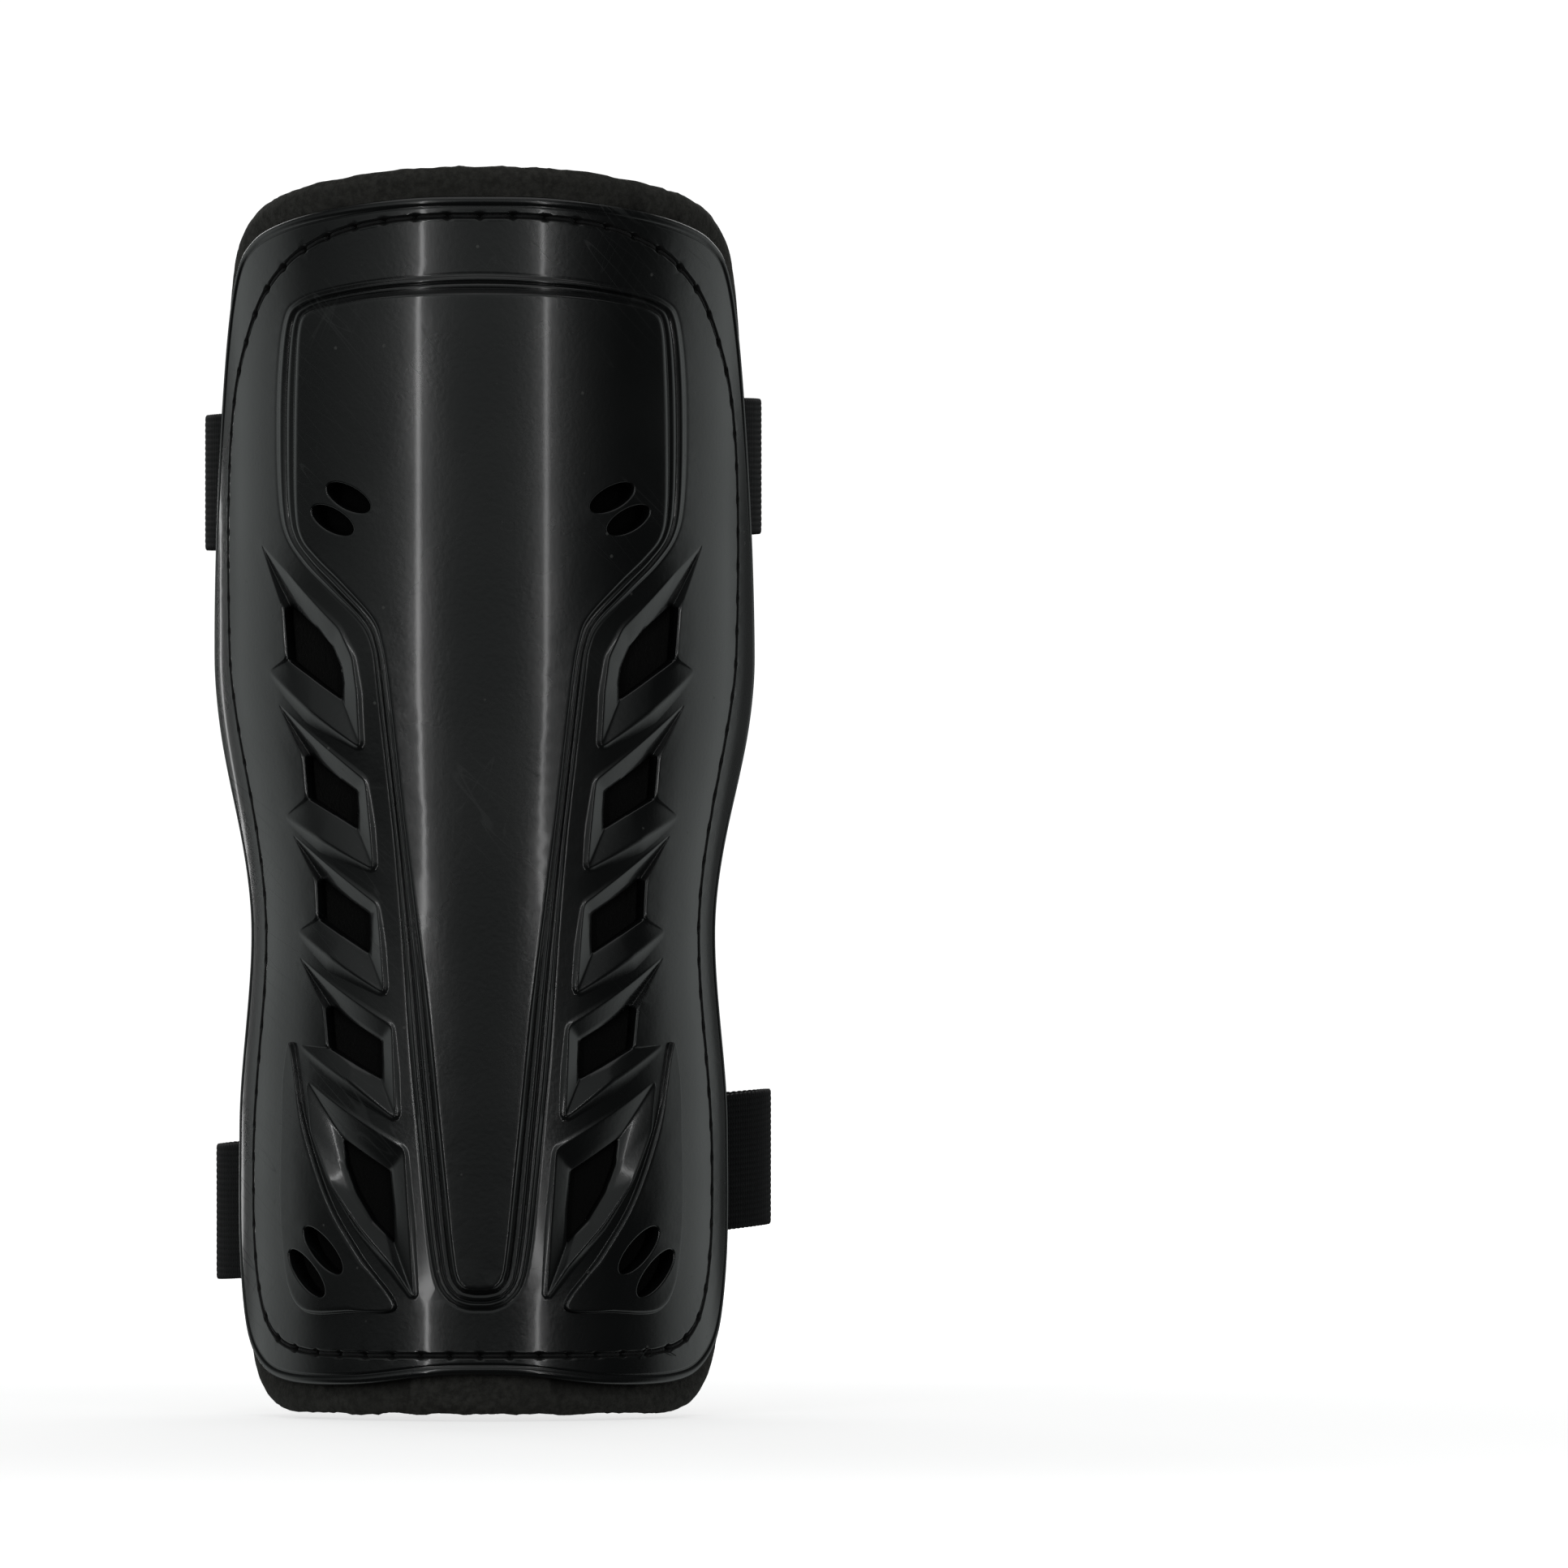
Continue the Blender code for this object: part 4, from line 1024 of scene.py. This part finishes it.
def tape(name, start_x, end_x, low_y, high_y, strap, round_end, material):
    """A flat length of tape that stands on edge across the back of the leg, its corners eased."""
    half, rounding = TAPE_WIDTH / 2, 0.8
    corners = [(start_x, -half), (start_x, half)]
    if round_end:
        angles = np.linspace(math.pi / 2, -math.pi / 2, 17)
        corners += [(end_x - half + half * math.cos(a), half * math.sin(a)) for a in angles]
    else:
        corners += [(end_x, half), (end_x, -half)]
    mesh = bmesh.new()
    face = mesh.faces.new([mesh.verts.new((x * MM, low_y * MM, z * MM)) for x, z in corners])
    if face.normal.y > 0:
        face.normal_flip()
    square = [vert for vert in mesh.verts if not round_end or vert.co.x < 0]
    bmesh.ops.bevel(
        mesh, geom=square, offset=rounding * MM, affect="VERTICES", segments=4, profile=0.5, material=-1,
    )
    pushed = bmesh.ops.extrude_face_region(mesh, geom=mesh.faces[:])["geom"]
    top = [part for part in pushed if isinstance(part, bmesh.types.BMVert)]
    bmesh.ops.translate(mesh, verts=top, vec=(0, (high_y - low_y) * MM, 0))
    bmesh.ops.recalc_face_normals(mesh, faces=mesh.faces)
    rims = [edge for edge in mesh.edges if abs(edge.verts[0].co.y - edge.verts[1].co.y) < 1e-6]
    bmesh.ops.bevel(
        mesh, geom=rims, offset=0.22 * MM, affect="EDGES", segments=2, profile=0.5, material=-1,
    )
    step = 0.9
    for axis, low, high in ((0, start_x, end_x), (2, -half, half)):
        for cut in np.arange(math.floor(low / step) * step, high, step):
            normal = [float(k == axis) for k in range(3)]
            place = [cut * MM * part for part in normal]
            parts = mesh.verts[:] + mesh.edges[:] + mesh.faces[:]
            bmesh.ops.bisect_plane(mesh, geom=parts, dist=1e-6, plane_co=place, plane_no=normal)
    for vert in mesh.verts:
        x, y, z = (part / MM for part in vert.co)
        vert.co.y += 0.05 * noise.noise((x * 0.8, z * 0.8, y)) * MM
        vert.co.z += (strap["height"] + strap["rise"] * x) * MM
    return show(mesh, name, material)


def hooks(name, low_x, high_x, y, strap):
    """Rows of small bent hooks that stand out from the tape, towards the leg."""
    half, pitch = TAPE_WIDTH / 2 - 1.6, 1.25
    mesh = bmesh.new()
    for row, z in enumerate(np.arange(-half, half, pitch)):
        for x in np.arange(low_x + 1.4 + (row % 2) * 0.6, high_x - 1.4, pitch):
            lean = 1 if row % 2 else -1
            made = bmesh.ops.create_cone(
                mesh, cap_ends=True, segments=5, radius1=0.15 * MM, radius2=0.09 * MM, depth=0.5 * MM,
            )["verts"]
            for vert in made:
                tip = vert.co.z > 0
                side_x, side_z = vert.co.x + (0.22 * MM if tip else 0) * lean, vert.co.y
                rise = strap["height"] + strap["rise"] * x + z
                vert.co = (x * MM + side_x, y * MM - vert.co.z, rise * MM + side_z)
    return show(mesh, name, hook_finish)


def box_of_stitches(name, low_x, high_x, y, strap, body, node):
    """Lockstitch round a rectangle of tape, sunk a little into the elastic."""
    half = TAPE_WIDTH / 2 - 2
    corners = np.array([(low_x, half), (high_x, half), (high_x, -half), (low_x, -half)], float)
    mesh = bmesh.new()
    for first, second in zip(corners, np.roll(corners, -1, axis=0)):
        length = float(np.linalg.norm(second - first))
        ahead = (second - first) / length
        aside = np.array((-ahead[1], ahead[0]))
        count = round(length / 2.9)
        for k in range(count):
            middle = first + ahead * length * (k + 0.5) / count
            stitch(mesh, lambda run: (middle + ahead * run, aside), length / count * 0.9, 0.3, 0.24, 0.3, k)
    for vert in mesh.verts:
        x, out, z = vert.co
        rise = strap["height"] + strap["rise"] * x
        vert.co = (x * MM, (y + out) * MM, (rise + z) * MM)
    bmesh.ops.recalc_face_normals(mesh, faces=mesh.faces)
    piece = show(mesh, name, thread_finish)
    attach(piece, body)
    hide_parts(node)


for level, strap in STRAPS.items():
    loop_depth = strap["depth"] + LINING_FACE
    hook_depth = loop_depth + TAPE_THICK + GAP
    left_back = hook_depth + ELASTIC_THICK / 2
    right_back = hook_depth + TAPE_THICK + GAP + ELASTIC_THICK / 2
    hook_body, loop_body, tab_body = f"{level}_hook_strap", f"{level}_loop_strap", f"{level}_pull_tab"

    split = TAB_FLEX + 2.9
    for hand, side, body, back in (("right", 1, hook_body, right_back), ("left", -1, loop_body, left_back)):
        flex = joints[f"{body}_flex"]
        route = sewn_end(strap["height"] + strap["rise"] * side * CALF_RADIUS, side, flex)
        route += curve_back(flex, strap[f"steer_{hand}"], back, side)
        if hand == "right":
            route.append(Vector((split, back)))
        else:
            route += turned_back(route.pop(), Vector((LEFT_FOLD, back)))
        elastic = webbing(f"{level}_{hand}_webbing", route, strap)
        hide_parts(f"{level}_{hand}_anchor", f"{level}_{hand}_elastic")
        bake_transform(elastic)

    slope = Vector((-math.cos(TAB_SLOPE), math.sin(TAB_SLOPE)))
    tab_start = Vector((TAB_FLEX, right_back))
    route = interpolate_bezier(
        (split, right_back), (TAB_FLEX + 1, right_back), tab_start - slope * 0.2,
        tab_start + slope * 2.4, 12,
    )
    route += turned_back(route.pop(), tab_start + slope * TAB_LENGTH)
    tab = webbing(f"{level}_tab_webbing", route, strap)
    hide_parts(f"{level}_pull_tab")
    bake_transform(tab)

    tape_face = hook_depth + 0.5
    hook_tape = tape(
        f"{level}_hook_band", HOOK_TAPE_END, HOOK_TAPE_START, tape_face, hook_depth + TAPE_THICK, strap,
        False, hook_finish,
    )
    hook_field = hooks(f"{level}_hooks", HOOK_TAPE_END, HOOK_TAPE_START, tape_face - 0.2, strap)
    for piece in (hook_tape, hook_field):
        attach(piece, hook_body)
    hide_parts(f"{level}_hook_tape")

    loop_tape = tape(
        f"{level}_loop_band", LOOP_TAPE_START, LOOP_TAPE_END, loop_depth, loop_depth + TAPE_THICK, strap,
        True, loop_finish,
    )
    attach(loop_tape, loop_body)
    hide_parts(f"{level}_loop_tape")

    box_of_stitches(
        f"{level}_hook_thread", split, HOOK_TAPE_START - 2, right_back + ELASTIC_THICK / 2, strap, hook_body,
        f"{level}_hook_stitching",
    )
    box_of_stitches(
        f"{level}_loop_thread", LOOP_TAPE_START + 2, LEFT_FOLD - FOLD_LENGTH - 2,
        left_back + ELASTIC_THICK / 2, strap, loop_body, f"{level}_loop_stitching",
    )
